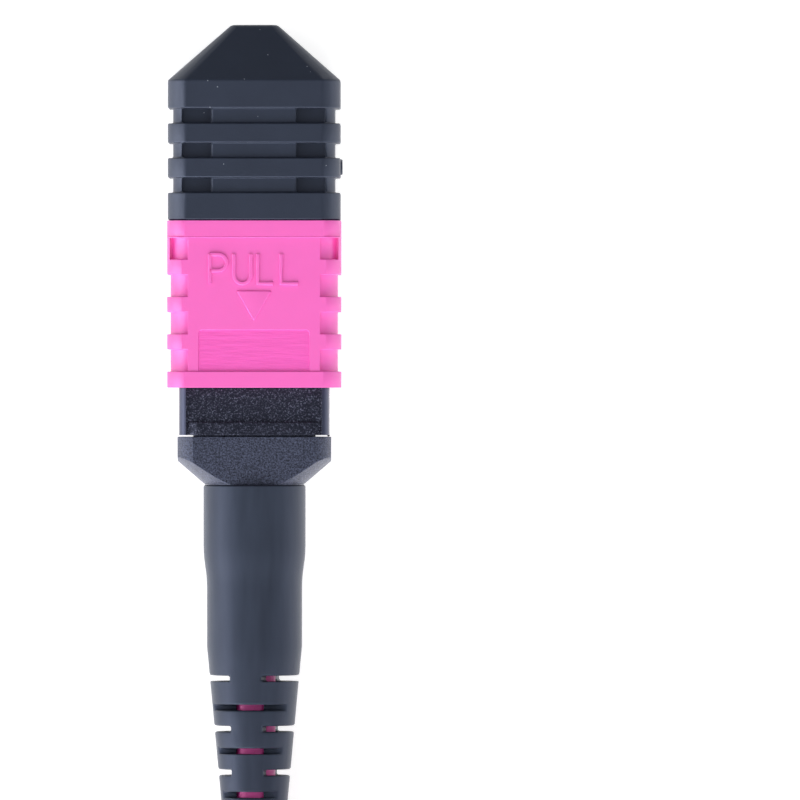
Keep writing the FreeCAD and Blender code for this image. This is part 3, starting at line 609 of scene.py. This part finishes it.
def smooth(piece):
    """Shades the edges round and the flat faces flat."""
    piece.data.shade_smooth()
    piece.modifiers.new("flat faces", "WEIGHTED_NORMAL")


WELD = 0.002 * MM  # corners of a mesh that are closer than this become one
EDGE_SHARE = 0.42  # of the narrower face beside an edge, which the edge's rounding may take


def room_beside(edge):
    """How wide the narrower of an edge's two faces is, measured away from the edge."""
    start, along = edge.verts[0].co, (edge.verts[1].co - edge.verts[0].co).normalized()
    widths = []
    for face in edge.link_faces:
        steps = [vertex.co - start for vertex in face.verts]
        widths.append(max((step - along * step.dot(along)).length for step in steps))
    return min(widths)


def finished_mesh(work, name):
    """The worked mesh as one that a piece can have."""
    mesh = bpy.data.meshes.new(name)
    work.to_mesh(mesh)
    work.free()
    return mesh


def softened(node, name, radius, material, sharpest=24, segments=2, merged=0.5):
    """The node's own shape as a new piece that stands for it, its sharp edges rounded.

    Edges sharper than the sharpest angle are rounded, in degrees. Faces that differ by less than the
    merged angle become one first.
    """
    work = bmesh.new()
    work.from_mesh(frame["nodes"][node].data)
    bmesh.ops.remove_doubles(work, verts=work.verts, dist=WELD)
    bmesh.ops.dissolve_limit(work, angle_limit=math.radians(merged), verts=work.verts, edges=work.edges)
    weight = work.edges.layers.float.new("bevel_weight_edge")
    for edge in work.edges:
        if len(edge.link_faces) == 2 and edge.calc_face_angle() > math.radians(sharpest):
            edge[weight] = min(1.0, EDGE_SHARE * room_beside(edge) / radius)
    piece = add_piece(name, finished_mesh(work, name), node, material)
    rounding = piece.modifiers.new("mould radii", "BEVEL")
    rounding.limit_method = "WEIGHT"
    rounding.width = radius
    rounding.segments = segments
    rounding.use_clamp_overlap = False
    rounding.loop_slide = False
    smooth(piece)
    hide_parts(node)
    return piece


def strokes(name, lines, radius, closed=False):
    """Round strokes along lists of points, as one mesh."""
    curve = bpy.data.curves.new(name, "CURVE")
    curve.dimensions = "3D"
    curve.bevel_depth = radius
    curve.bevel_resolution = 3
    curve.use_fill_caps = True
    for line in lines:
        spline = curve.splines.new("POLY")
        spline.points.add(len(line) - 1)
        for point, place in zip(spline.points, line):
            point.co = (*place, 1.0)
        spline.use_cyclic_u = closed
    holder = bpy.data.objects.new(name, curve)
    mesh = bpy.data.meshes.new_from_object(holder)
    bpy.data.objects.remove(holder)
    mesh.name = name
    return mesh


SIDES = [(1, 1), (-1, 1), (-1, -1), (1, -1)]  # of the four corners in turn: right or left, up or down


def arc(centre_x, centre_y, radius_x, radius_y, first, last, steps=10):
    """Points of an ellipse's arc between two angles in degrees."""
    angles = [math.radians(first + (last - first) * k / steps) for k in range(steps + 1)]
    return [(centre_x + radius_x * math.cos(a), centre_y + radius_y * math.sin(a)) for a in angles]


def round_corner(quarter, flat_x, flat_y, radius, steps):
    """Points round a corner of a rounded rectangle, whose flat sides reach so far from its middle."""
    side, up = SIDES[quarter % 4]
    return arc(side * flat_x, up * flat_y, radius, radius, 90 * quarter, 90 * quarter + 90, steps)


# --- cable ------------------------------------------------
LEAD_L = 23.0 * MM
LEAD_ASIDE = -4.5 * MM
# Shares of the lead's length, of its way aside and of its way down.
LEAD_ROUTE = [(0, 0, 0), (0.22, 0, 0.02), (0.46, 0.33, 0.75), (0.74, 0.9, 1), (1, 1, 1)]
TURN_R = 15.0 * MM
TURN_PITCH = 3.05 * MM
COIL_COLUMNS = 2
POINTS_PER_TURN = 24
MOVE = math.radians(120)  # of turn, for a move into the next row or layer
EARLIER = 0.27 * MOVE  # by which each move comes earlier than the one below or beside it
TURNS = 10  # two rows of five
# Each move of the winding changes row, then layer, by so much. One ends in every turn.
COIL_MOVES = [(1, 0), (0, 1), (-1, 0), (0, 1), (1, 0), (0, 1), (-1, 0), (0, 1), (1, 0)]


def eased(share):
    """A share from 0 to 1, made to start and stop softly."""
    share = min(1.0, max(0.0, share))
    return share * share * (3 - 2 * share)


def coil_point(turned):
    """A control point of the winding, turned radians after it begins on its outer row."""
    row, layer = 0.0, 0.0
    for turn, (rows, layers) in enumerate(COIL_MOVES):
        begun = (turn + 1) * math.tau - turn * EARLIER - MOVE
        share = eased((turned - begun) / MOVE)
        row += rows * share
        layer += layers * share
    outside = 1 / math.cos(math.pi / POINTS_PER_TURN)  # the cable runs inside its control points
    radius = (TURN_R + TURN_PITCH * (0.5 - row)) * outside
    angle = math.pi + turned
    x, y = COIL_CENTRE.x + radius * math.cos(angle), COIL_CENTRE.y + radius * math.sin(angle)
    return Vector((x, y, COIL_LOW.z + TURN_PITCH * (layer + 0.5)))


def cable_points():
    """The lead from the boot to the coil's first turn, then the coil's turns."""
    exit_point = Vector((0, BOOT_LOW.y, AXIS_Z))
    drop = COIL_LOW.z + TURN_PITCH / 2 - AXIS_Z
    lead = []
    for along, aside, down in LEAD_ROUTE:
        lead.append(exit_point + Vector((LEAD_ASIDE * aside, -LEAD_L * along, drop * down)))
    step = math.tau / POINTS_PER_TURN
    last = TURNS * math.tau - len(COIL_MOVES) * EARLIER
    return lead + [coil_point((k + 0.5) * step) for k in range(int(last / step))]


STRAP_W = 6.0 * MM
STRAP_T = 0.5 * MM
STRAP_GAP = 0.05 * MM  # from the cable
STRAP_EDGE = 0.12 * MM
QUARTER_STEPS = 6  # of the strap round each corner of the bundle


def bundle_outline(grow, quarters):
    """Points round the coil's bundle, out from its middle and up, grow outside the cables."""
    corner = TURN_PITCH / 2
    flat_out = COIL_COLUMNS * TURN_PITCH / 2 - corner
    flat_up = (COIL_HIGH.z - COIL_LOW.z) / 2 - corner
    reach = corner + grow
    points = []
    for quarter in quarters:
        points += round_corner(quarter, flat_out, flat_up, reach, QUARTER_STEPS)
    return points


def strap_mesh(name, middle):
    """A strap round the coil's bundle, and its free end laid over it on the outside."""
    work = bmesh.new()
    for layer, quarters in ((0, (0, 1, 2, 3)), (1, (3, 4))):
        # The strap goes all round, and its free end begins low on the outside.
        first_place = QUARTER_STEPS * layer
        rings = []
        for share in (-1, -0.5, 0, 0.5, 1):
            turn = middle + share * STRAP_W / 2 / TURN_R
            out = Vector((math.cos(turn), math.sin(turn), 0))
            ring = []
            for side in (layer, layer + 1):
                outline = bundle_outline(STRAP_GAP + side * STRAP_T, quarters)[first_place:]
                places = [COIL_CENTRE + out * (TURN_R + u) + Vector((0, 0, v)) for u, v in outline]
                ring.append([work.verts.new(place) for place in places])
            rings.append(ring)
        count = len(rings[0][0])
        closed = layer == 0
        for j in range(count if closed else count - 1):
            k = (j + 1) % count
            for first, second in zip(rings, rings[1:]):
                for side in (0, 1):
                    work.faces.new([first[side][j], first[side][k], second[side][k], second[side][j]])
            for ring in (rings[0], rings[-1]):
                work.faces.new([ring[0][j], ring[0][k], ring[1][k], ring[1][j]])
        if not closed:
            for j in (0, count - 1):
                for first, second in zip(rings, rings[1:]):
                    work.faces.new([first[0][j], first[1][j], second[1][j], second[0][j]])
    bmesh.ops.recalc_face_normals(work, faces=work.faces)
    return finished_mesh(work, name)


# --- lettering --------------------------------------------
# Strokes of the four capitals, in shares of a letter's width and height.
LETTER_P = [[(0, 0), (0, 1)], [(0, 1), (0.5, 1)] + arc(0.5, 0.72, 0.5, 0.28, 90, -90) + [(0, 0.44)]]
LETTER_U = [[(0, 1), (0, 0.3)] + arc(0.5, 0.3, 0.5, 0.3, 180, 360) + [(1, 0.3), (1, 1)]]
LETTER_L = [[(0, 1), (0, 0), (1, 0)]]
# Each letter with the place and width of its middle line, in millimetres.
WORD = [(LETTER_P, -3.14, 1.2), (LETTER_U, -1.42, 1.2), (LETTER_L, 0.29, 1.06), (LETTER_L, 1.94, 1.2)]
WORD_TOP = 2.27 * MM  # from the housing's front to the top of the letters
ARROW_TOP = 5.01 * MM
ARROW_L = 2.17 * MM
ARROW_HALF_W = 1.26 * MM
ARROW_CORNER = 0.08 * MM
SLOPE_FROM = 0.4  # share of the relief, from which the arrow's sides lean in
RAISED_TOP = 0.9  # share of the arrow's size that its flat top has
STEEPER = 1.5  # times a round stroke's height, before its top is cut flat
PANEL_DROP = 0.1 * MM  # from the bands' level to the panel between them
PANEL_LEVEL = HOUSING_HIGH.z - PANEL_DROP
LABEL_DEPTH = 0.08 * MM  # of the label's place, below the panel
LABEL_STREAK_DEPTH = 0.045 * MM
SAME_LEVEL = 0.02 * MM  # faces this close to a level lie on it


def word_lines(sizes):
    top = HOUSING_HIGH.y - WORD_TOP - sizes.stroke / 2
    height = sizes.letter_height - sizes.stroke
    lines = []
    for letter, left, width in WORD:
        for line in letter:
            lines.append([((left + width * x) * MM, top - height * (1 - y), PANEL_LEVEL) for x, y in line])
    return lines


def raised(mesh, level, relief):
    """Flattens strokes so that they stand relief above a level, with sloping sides."""
    for vertex in mesh.vertices:
        vertex.co.z = level + min(relief, max(-relief, STEEPER * (vertex.co.z - level)))
    return mesh


def arrow_mesh(level, relief):
    """A flat triangle that points to the rear, with rounded corners and sloping sides."""
    top = HOUSING_HIGH.y - ARROW_TOP
    corners = [(-ARROW_HALF_W, top), (0, top - ARROW_L), (ARROW_HALF_W, top)]
    middle = Vector((0, top - ARROW_L / 3, 0))
    work = bmesh.new()
    rings = []
    for shrink, height in ((1.0, -relief), (1.0, relief * SLOPE_FROM), (RAISED_TOP, relief)):
        places = [middle + (Vector((x, y, 0)) - middle) * shrink for x, y in corners]
        rings.append([work.verts.new(place + Vector((0, 0, level + height))) for place in places])
    for lower, upper in zip(rings, rings[1:]):
        for j in range(3):
            k = (j + 1) % 3
            work.faces.new([lower[j], lower[k], upper[k], upper[j]])
    work.faces.new(rings[-1])
    level_gap = relief * (1 - SLOPE_FROM) / 2  # edges between two rings rise by more
    corner_edges = [e for e in work.edges if abs(e.verts[0].co.z - e.verts[1].co.z) > level_gap]
    bmesh.ops.bevel(work, geom=corner_edges, offset=ARROW_CORNER, segments=3, profile=0.5, affect="EDGES")
    bmesh.ops.recalc_face_normals(work, faces=work.faces)
    return finished_mesh(work, "pull_arrow")


FRONT_BAND = 1.2 * MM  # from the housing's front to the parting line
LINE_CORNER = 1.4 * MM
LINE_SUNK = 0.3  # share of the line's thickness by which its middle lies inside the housing


def parting_line(thickness):
    """A closed line round the housing, where its front band ends."""
    inset = thickness * LINE_SUNK
    half_w = HOUSING_HIGH.x - inset - LINE_CORNER
    half_h = (HOUSING_HIGH.z - HOUSING_LOW.z) / 2 - inset - LINE_CORNER
    points = []
    for quarter in range(4):
        for x, z in round_corner(quarter, half_w, half_h, LINE_CORNER, 8):
            height = max(AXIS_Z + z, HOUSING_LOW.z + thickness / 2)
            points.append((x, HOUSING_HIGH.y - FRONT_BAND, height))
    return points


# --- springs ----------------------------------------------
# Each spring's outside diameter, wire and turns, and the body that its front end pushes on.
SPRINGS = {
    "coupling_spring_right": (1.2 * MM, 0.2 * MM, 6, "coupling"),
    "coupling_spring_left": (1.2 * MM, 0.2 * MM, 6, "coupling"),
    "ferrule_spring": (4.1 * MM, 0.4 * MM, 5, "ferrule_group"),
}
SPRING_POINTS = 28  # in a turn


def spring_line(node, diameter, wire, turns):
    low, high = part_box(node)
    middle = (low + high) / 2
    radius, start, rise = (diameter - wire) / 2, low.y + wire / 2, high.y - low.y - wire
    points = []
    for k in range(turns * SPRING_POINTS + 1):
        angle = k * math.tau / SPRING_POINTS
        along = start + rise * k / (turns * SPRING_POINTS)
        points.append((middle.x + radius * math.cos(angle), along, middle.z - radius * math.sin(angle)))
    return points


# --- the pieces -------------------------------------------
FLOOR_REACH = 1.5  # metres to each side
FLOOR_GAP = 0.02 * MM  # below the housing
LAMP_SIZE = 0.4
# Each lamp's power is the setting of the same name.
LAMP_PLACES = {"key": (-0.5, -0.2, 0.2), "fill": (0.5, -0.1, 0.16), "near": (0.0, -0.5, 0.25)}


class CONNECTOR_OT_stage(bpy.types.Operator):
    """Camera, floor, lamps and surround"""

    bl_idname = "connector.stage"
    bl_label = "Stage"

    def execute(self, context):
        scene, settings = context.scene, context.scene.connector_stage
        scene.view_settings.view_transform = "Standard"
        lens = bpy.data.cameras.new("camera")
        lens.angle = 2 * math.atan(settings.view_width / 2 / settings.camera_distance)
        lens.clip_start = 0.01
        camera = bpy.data.objects.new("camera", lens)
        camera.location = (settings.view_x, settings.view_y, AXIS_Z + settings.camera_distance)
        scene.collection.objects.link(camera)
        scene.camera = camera

        plane = bpy.data.meshes.new("floor")
        level = HOUSING_LOW.z - FLOOR_GAP
        corners = [(side * FLOOR_REACH, up * FLOOR_REACH, level) for side, up in SIDES]
        plane.from_pydata(corners, [], [(0, 1, 2, 3)])
        floor = bpy.data.objects.new("floor", plane)
        scene.collection.objects.link(floor)
        plane.materials.append(floor_finish())

        for name, place in LAMP_PLACES.items():
            lamp = bpy.data.lights.new(name, "AREA")
            lamp.size = LAMP_SIZE
            lamp.energy = getattr(settings, name)
            holder = bpy.data.objects.new(name, lamp)
            holder.location = place
            towards = Vector((0, 0, AXIS_Z)) - Vector(place)
            holder.rotation_euler = towards.to_track_quat("-Z", "Y").to_euler()
            scene.collection.objects.link(holder)
        surround(scene, settings.low_surround, settings.high_surround)
        return {"FINISHED"}


def reflected_or_clear(tree, rays):
    """1 for what a reflection or a clear material sees, and 0 for what lights a surface."""
    return add_node(
        tree,
        "ShaderNodeMath",
        {0: rays.outputs["Is Glossy Ray"], 1: rays.outputs["Is Transmission Ray"]},
        operation="MAXIMUM",
    ).outputs[0]


FLOOR_SEEN = 0.62  # glow that makes the floor white to the camera
FLOOR_REFLECTED = 1.4  # glow that a reflection sees
FADE_BEGINS = CAP_HIGH.y - 4 * MM
FADE_ENDS = CAP_HIGH.y + 12 * MM
FADED = 0.2  # share of the floor's brightness that a reflection sees past that


def floor_finish():
    # White coated paper board: matt, and bright enough to be seen as white where no shadow falls.
    # Reflections see it darken ahead of the nose, as they do the surround.
    material, tree, place = new_material("floor_paper_board")
    rays = add_node(tree, "ShaderNodeLightPath")
    along = add_node(tree, "ShaderNodeSeparateXYZ", {"Vector": place})
    ahead = add_node(
        tree,
        "ShaderNodeMapRange",
        {
            "Value": along.outputs["Y"],
            "From Min": FADE_BEGINS,
            "From Max": FADE_ENDS,
            "To Min": 1.0,
            "To Max": FADED,
        },
    )
    clear = reflected_or_clear(tree, rays)
    shade = add_node(
        tree, "ShaderNodeMix", {0: clear, 2: 1.0, 3: ahead.outputs["Result"]}, data_type="FLOAT"
    )
    tone = add_node(
        tree,
        "ShaderNodeMix",
        {0: shade.outputs[0], 6: linear("#000000"), 7: linear("#E9E9E9")},
        data_type="RGBA",
    )
    paper = add_node(tree, "ShaderNodeBsdfDiffuse", {"Color": tone.outputs[2]})
    seen = add_node(
        tree, "ShaderNodeMath", {0: rays.outputs["Is Camera Ray"], 1: FLOOR_SEEN}, operation="MULTIPLY"
    )
    strength = add_node(
        tree,
        "ShaderNodeMath",
        {0: clear, 1: FLOOR_REFLECTED, 2: seen.outputs[0]},
        operation="MULTIPLY_ADD",
    )
    glow = add_node(
        tree, "ShaderNodeMath", {0: strength.outputs[0], 1: shade.outputs[0]}, operation="MULTIPLY"
    )
    light = add_node(tree, "ShaderNodeEmission", {"Strength": glow.outputs[0]})
    add_node(tree, "ShaderNodeAddShader", {0: paper.outputs[0], 1: light.outputs[0]})
    return material


REFLECTED_LEFT = 7.0  # strength of the surround low down, as reflections see it
REFLECTED_RIGHT = 5.0
REFLECTED_HIGH = 0.06  # share of that strength that is left overhead
HIGH_LEANS = (0.18, 0, 1)  # towards the middle of that dim part
LOW_TO_HIGH = (0.15, 0.5)  # how far up a direction points, where it begins and is full
LEFT_TO_RIGHT = (-0.6, 0.4)
DARK_FROM = 0.8  # how far ahead a direction points, where the surround is dark


def surround(scene, low, high):
    """A white surround that dims beyond the nose.

    Reflections see it brightest on the left and low down.
    """
    world = bpy.data.worlds.new("surround")
    scene.world = world
    world.use_nodes = True
    tree = world.node_tree
    background = tree.nodes["Background"]
    direction = add_node(tree, "ShaderNodeTexCoord")
    toward = add_node(tree, "ShaderNodeSeparateXYZ", {"Vector": direction.outputs["Generated"]})
    lights = add_node(
        tree, "ShaderNodeMapRange", {"Value": toward.outputs["Z"], "To Min": low, "To Max": high}
    )
    leaning = add_node(
        tree,
        "ShaderNodeVectorMath",
        {0: direction.outputs["Generated"], 1: HIGH_LEANS},
        operation="DOT_PRODUCT",
    )
    height = add_node(
        tree,
        "ShaderNodeMapRange",
        {
            "Value": leaning.outputs["Value"],
            "From Min": LOW_TO_HIGH[0],
            "From Max": LOW_TO_HIGH[1],
            "To Min": 1.0,
            "To Max": REFLECTED_HIGH,
        },
    )
    side = add_node(
        tree,
        "ShaderNodeMapRange",
        {
            "Value": toward.outputs["X"],
            "From Min": LEFT_TO_RIGHT[0],
            "From Max": LEFT_TO_RIGHT[1],
            "To Min": REFLECTED_LEFT,
            "To Max": REFLECTED_RIGHT,
        },
    )
    shown = add_node(
        tree,
        "ShaderNodeMath",
        {0: height.outputs["Result"], 1: side.outputs["Result"]},
        operation="MULTIPLY",
    )
    beyond = add_node(
        tree,
        "ShaderNodeMapRange",
        {"Value": toward.outputs["Y"], "From Max": DARK_FROM, "To Min": 1.0, "To Max": 0.0},
    )
    rays = add_node(tree, "ShaderNodeLightPath")
    level = add_node(
        tree,
        "ShaderNodeMix",
        {0: reflected_or_clear(tree, rays), 2: lights.outputs["Result"], 3: shown.outputs[0]},
        data_type="FLOAT",
    )
    dimmed = add_node(
        tree, "ShaderNodeMath", {0: level.outputs[0], 1: beyond.outputs["Result"]}, operation="MULTIPLY"
    )
    strength = add_node(
        tree,
        "ShaderNodeMix",
        {0: rays.outputs["Is Camera Ray"], 2: dimmed.outputs[0], 3: 1.0},
        data_type="FLOAT",
    )
    background.inputs["Color"].default_value = (1.0, 1.0, 1.0, 1.0)
    tree.links.new(strength.outputs[0], background.inputs["Strength"])


class CONNECTOR_OT_cable(bpy.types.Operator):
    """Free cable, from the boot to the end of its coil, with the straps that hold the coil"""

    bl_idname = "connector.cable"
    bl_label = "Cable"

    def execute(self, context):
        colours, diameter = context.scene.connector_colours, context.scene.connector_sizes.cable
        points = cable_points()
        curve = bpy.data.curves.new("cable", "CURVE")
        curve.dimensions = "3D"
        curve.resolution_u = 5
        curve.bevel_depth = diameter / 2
        curve.bevel_resolution = 5
        curve.use_fill_caps = True
        spline = curve.splines.new("NURBS")
        spline.points.add(len(points) - 1)
        for point, place in zip(spline.points, points):
            point.co = (*place, 1.0)
        spline.order_u = 3
        spline.use_endpoint_u = True
        jacket = jacket_plastic(colours.jacket)
        cable = add_piece("cable", curve, "cable_lead", jacket)
        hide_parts("cable_lead", "cable_coil")

        fabric = strap_fabric(colours.strap)
        for name, angle in (("strap_near", 90), ("strap_far", -90)):
            strap = add_piece(name, strap_mesh(name, math.radians(angle)), "coil_ties", fabric)
            edge = strap.modifiers.new("soft edge", "BEVEL")
            edge.width = STRAP_EDGE
            edge.segments = 2
            edge.limit_method = "ANGLE"
            edge.angle_limit = math.radians(40)
            smooth(strap)
            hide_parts("coil_ties")
        finish_nodes(jacket, "cable_jacket")
        finish_nodes(coated_fibre(), "fibre_bundle", "fibre_ribbon")
        finish_nodes(aramid_yarn(), "aramid_yarn")
        return {"FINISHED"}


class CONNECTOR_OT_boot(bpy.types.Operator):
    """Bend relief boot, with the slots that let it bend"""

    bl_idname = "connector.boot"
    bl_label = "Boot"

    def execute(self, context):
        material = boot_elastomer(context.scene.connector_colours.boot)
        softened("bend_relief_boot", "boot", context.scene.connector_sizes.slot_lip, material, segments=3)
        return {"FINISHED"}


class CONNECTOR_OT_body(bpy.types.Operator):
    """Inner housing and the rear body that closes it"""

    bl_idname = "connector.body"
    bl_label = "Body"

    def execute(self, context):
        colours, edge = context.scene.connector_colours, context.scene.connector_sizes.hard_edge
        finish_nodes(body_plastic(colours.body, edge), "inner_housing")
        finish_nodes(collar_plastic(colours.collar, edge), "rear_body")
        return {"FINISHED"}


STEP_SHARE = 0.45  # of the low step round the panel, for each of the two roundings that meet on it


class CONNECTOR_OT_housing(bpy.types.Operator):
    """Sliding outer housing, with its grip ribs and the thin line where its mould parts"""

    bl_idname = "connector.housing"
    bl_label = "Outer housing"

    def execute(self, context):
        colours, sizes = context.scene.connector_colours, context.scene.connector_sizes
        plastic = housing_plastic(colours.housing)
        rounding = min(sizes.hard_edge, STEP_SHARE * PANEL_DROP)
        housing = softened("coupling_housing", "outer_housing", rounding, plastic)
        label_plastic = housing_plastic(colours.housing, "label_place_pbt_moulded", LABEL_STREAK_DEPTH)
        housing.data.materials.append(label_plastic)
        for face in housing.data.polygons:
            if face.normal.z > 0.9 and abs(face.center.z - (PANEL_LEVEL - LABEL_DEPTH)) < SAME_LEVEL:
                face.material_index = 1
        line = strokes("parting_line", [parting_line(sizes.flash)], sizes.flash / 2, closed=True)
        smooth(add_piece("parting_line", line, "coupling_housing", plastic))
        word = strokes("pull_word", word_lines(sizes), sizes.stroke / 2)
        word = raised(word, PANEL_LEVEL, sizes.relief)
        smooth(add_piece("pull_word", word, "coupling_housing", plastic))
        arrow = arrow_mesh(PANEL_LEVEL, sizes.relief)
        smooth(add_piece("pull_arrow", arrow, "coupling_housing", plastic))
        return {"FINISHED"}


# The round mark that the mould's gate leaves on one rib of the cap.
GATE_R = 0.62 * MM
GATE_OUT = 0.14 * MM
GATE_BACK = 10.15 * MM  # behind the tip
GATE_TAPER = 0.85  # of its radius, at its outer end


class CONNECTOR_OT_dust_cap(bpy.types.Operator):
    """Soft dust cap over the nose"""

    bl_idname = "connector.dust_cap"
    bl_label = "Dust cap"

    def execute(self, context):
        material = cap_elastomer(context.scene.connector_colours.cap)
        radius = context.scene.connector_sizes.soft_edge
        softened("dust_cap", "cap", radius, material, sharpest=32, segments=3, merged=4)
        work = bmesh.new()
        bmesh.ops.create_cone(
            work,
            cap_ends=True,
            segments=32,
            radius1=GATE_R,
            radius2=GATE_R * GATE_TAPER,
            depth=2 * GATE_OUT,
            matrix=Matrix.Translation((CAP_HIGH.x, CAP_HIGH.y - GATE_BACK, AXIS_Z))
            @ Matrix.Rotation(math.radians(90), 4, "Y"),
        )
        smooth(add_piece("gate_mark", finished_mesh(work, "gate_mark"), "dust_cap", material))
        return {"FINISHED"}


class CONNECTOR_OT_inside(bpy.types.Operator):
    """Ferrule with its pins, the springs and the crimp ring"""

    bl_idname = "connector.inside"
    bl_label = "Ferrule and springs"

    def execute(self, context):
        finish_nodes(ferrule_polymer(), "ferrule")
        finish_nodes(sleeve_rubber(), "ferrule_boot")
        ground = steel("pin_steel_ground", "#C9CBCE", 0.16, MARKS_ALONG)
        finish_nodes(ground, "guide_pin_right", "guide_pin_left")
        finish_nodes(steel("ring_steel_drawn", "#B9B6AE", 0.3, MARKS_ALONG), "crimp_ring")
        drawn = steel("spring_steel_drawn", "#B4B7BB", 0.25, MARKS_EVEN)
        finish_nodes(drawn, "pin_clamp")
        for node, (diameter, wire, turns, pushed) in SPRINGS.items():
            mesh = strokes(node + "_wire", [spring_line(node, diameter, wire, turns)], wire / 2)
            mesh.materials.append(drawn)
            mesh.shade_smooth()
            spring = bpy.data.objects.new(node + "_wire", mesh)
            context.collection.objects.link(spring)
            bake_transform(spring)
            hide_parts(node)
        return {"FINISHED"}


PIECES = (
    CONNECTOR_OT_stage,
    CONNECTOR_OT_cable,
    CONNECTOR_OT_boot,
    CONNECTOR_OT_body,
    CONNECTOR_OT_housing,
    CONNECTOR_OT_dust_cap,
    CONNECTOR_OT_inside,
)


class CONNECTOR_PT_panel(bpy.types.Panel):
    """Lists the pieces and what can be set"""

    bl_idname = "CONNECTOR_PT_panel"
    bl_label = "Connector"
    bl_space_type = "VIEW_3D"
    bl_region_type = "UI"
    bl_category = "Connector"

    def draw(self, context):
        scene = context.scene
        for settings in (scene.connector_colours, scene.connector_sizes, scene.connector_stage):
            column = self.layout.column()
            for name in settings.__annotations__:
                column.prop(settings, name)
        for piece in PIECES:
            self.layout.operator(piece.bl_idname)


CLASSES = (ConnectorColours, ConnectorSizes, StageSettings, *PIECES, CONNECTOR_PT_panel)


def register():
    for registered in CLASSES:
        bpy.utils.register_class(registered)
    bpy.types.Scene.connector_colours = bpy.props.PointerProperty(type=ConnectorColours)
    bpy.types.Scene.connector_sizes = bpy.props.PointerProperty(type=ConnectorSizes)
    bpy.types.Scene.connector_stage = bpy.props.PointerProperty(type=StageSettings)


def unregister():
    del bpy.types.Scene.connector_stage
    del bpy.types.Scene.connector_sizes
    del bpy.types.Scene.connector_colours
    for registered in reversed(CLASSES):
        bpy.utils.unregister_class(registered)


def main():
    register()
    bpy.ops.connector.stage()
    bpy.ops.connector.cable()
    bpy.ops.connector.boot()
    bpy.ops.connector.body()
    bpy.ops.connector.housing()
    bpy.ops.connector.dust_cap()
    bpy.ops.connector.inside()


if __name__ == "__main__":
    main()
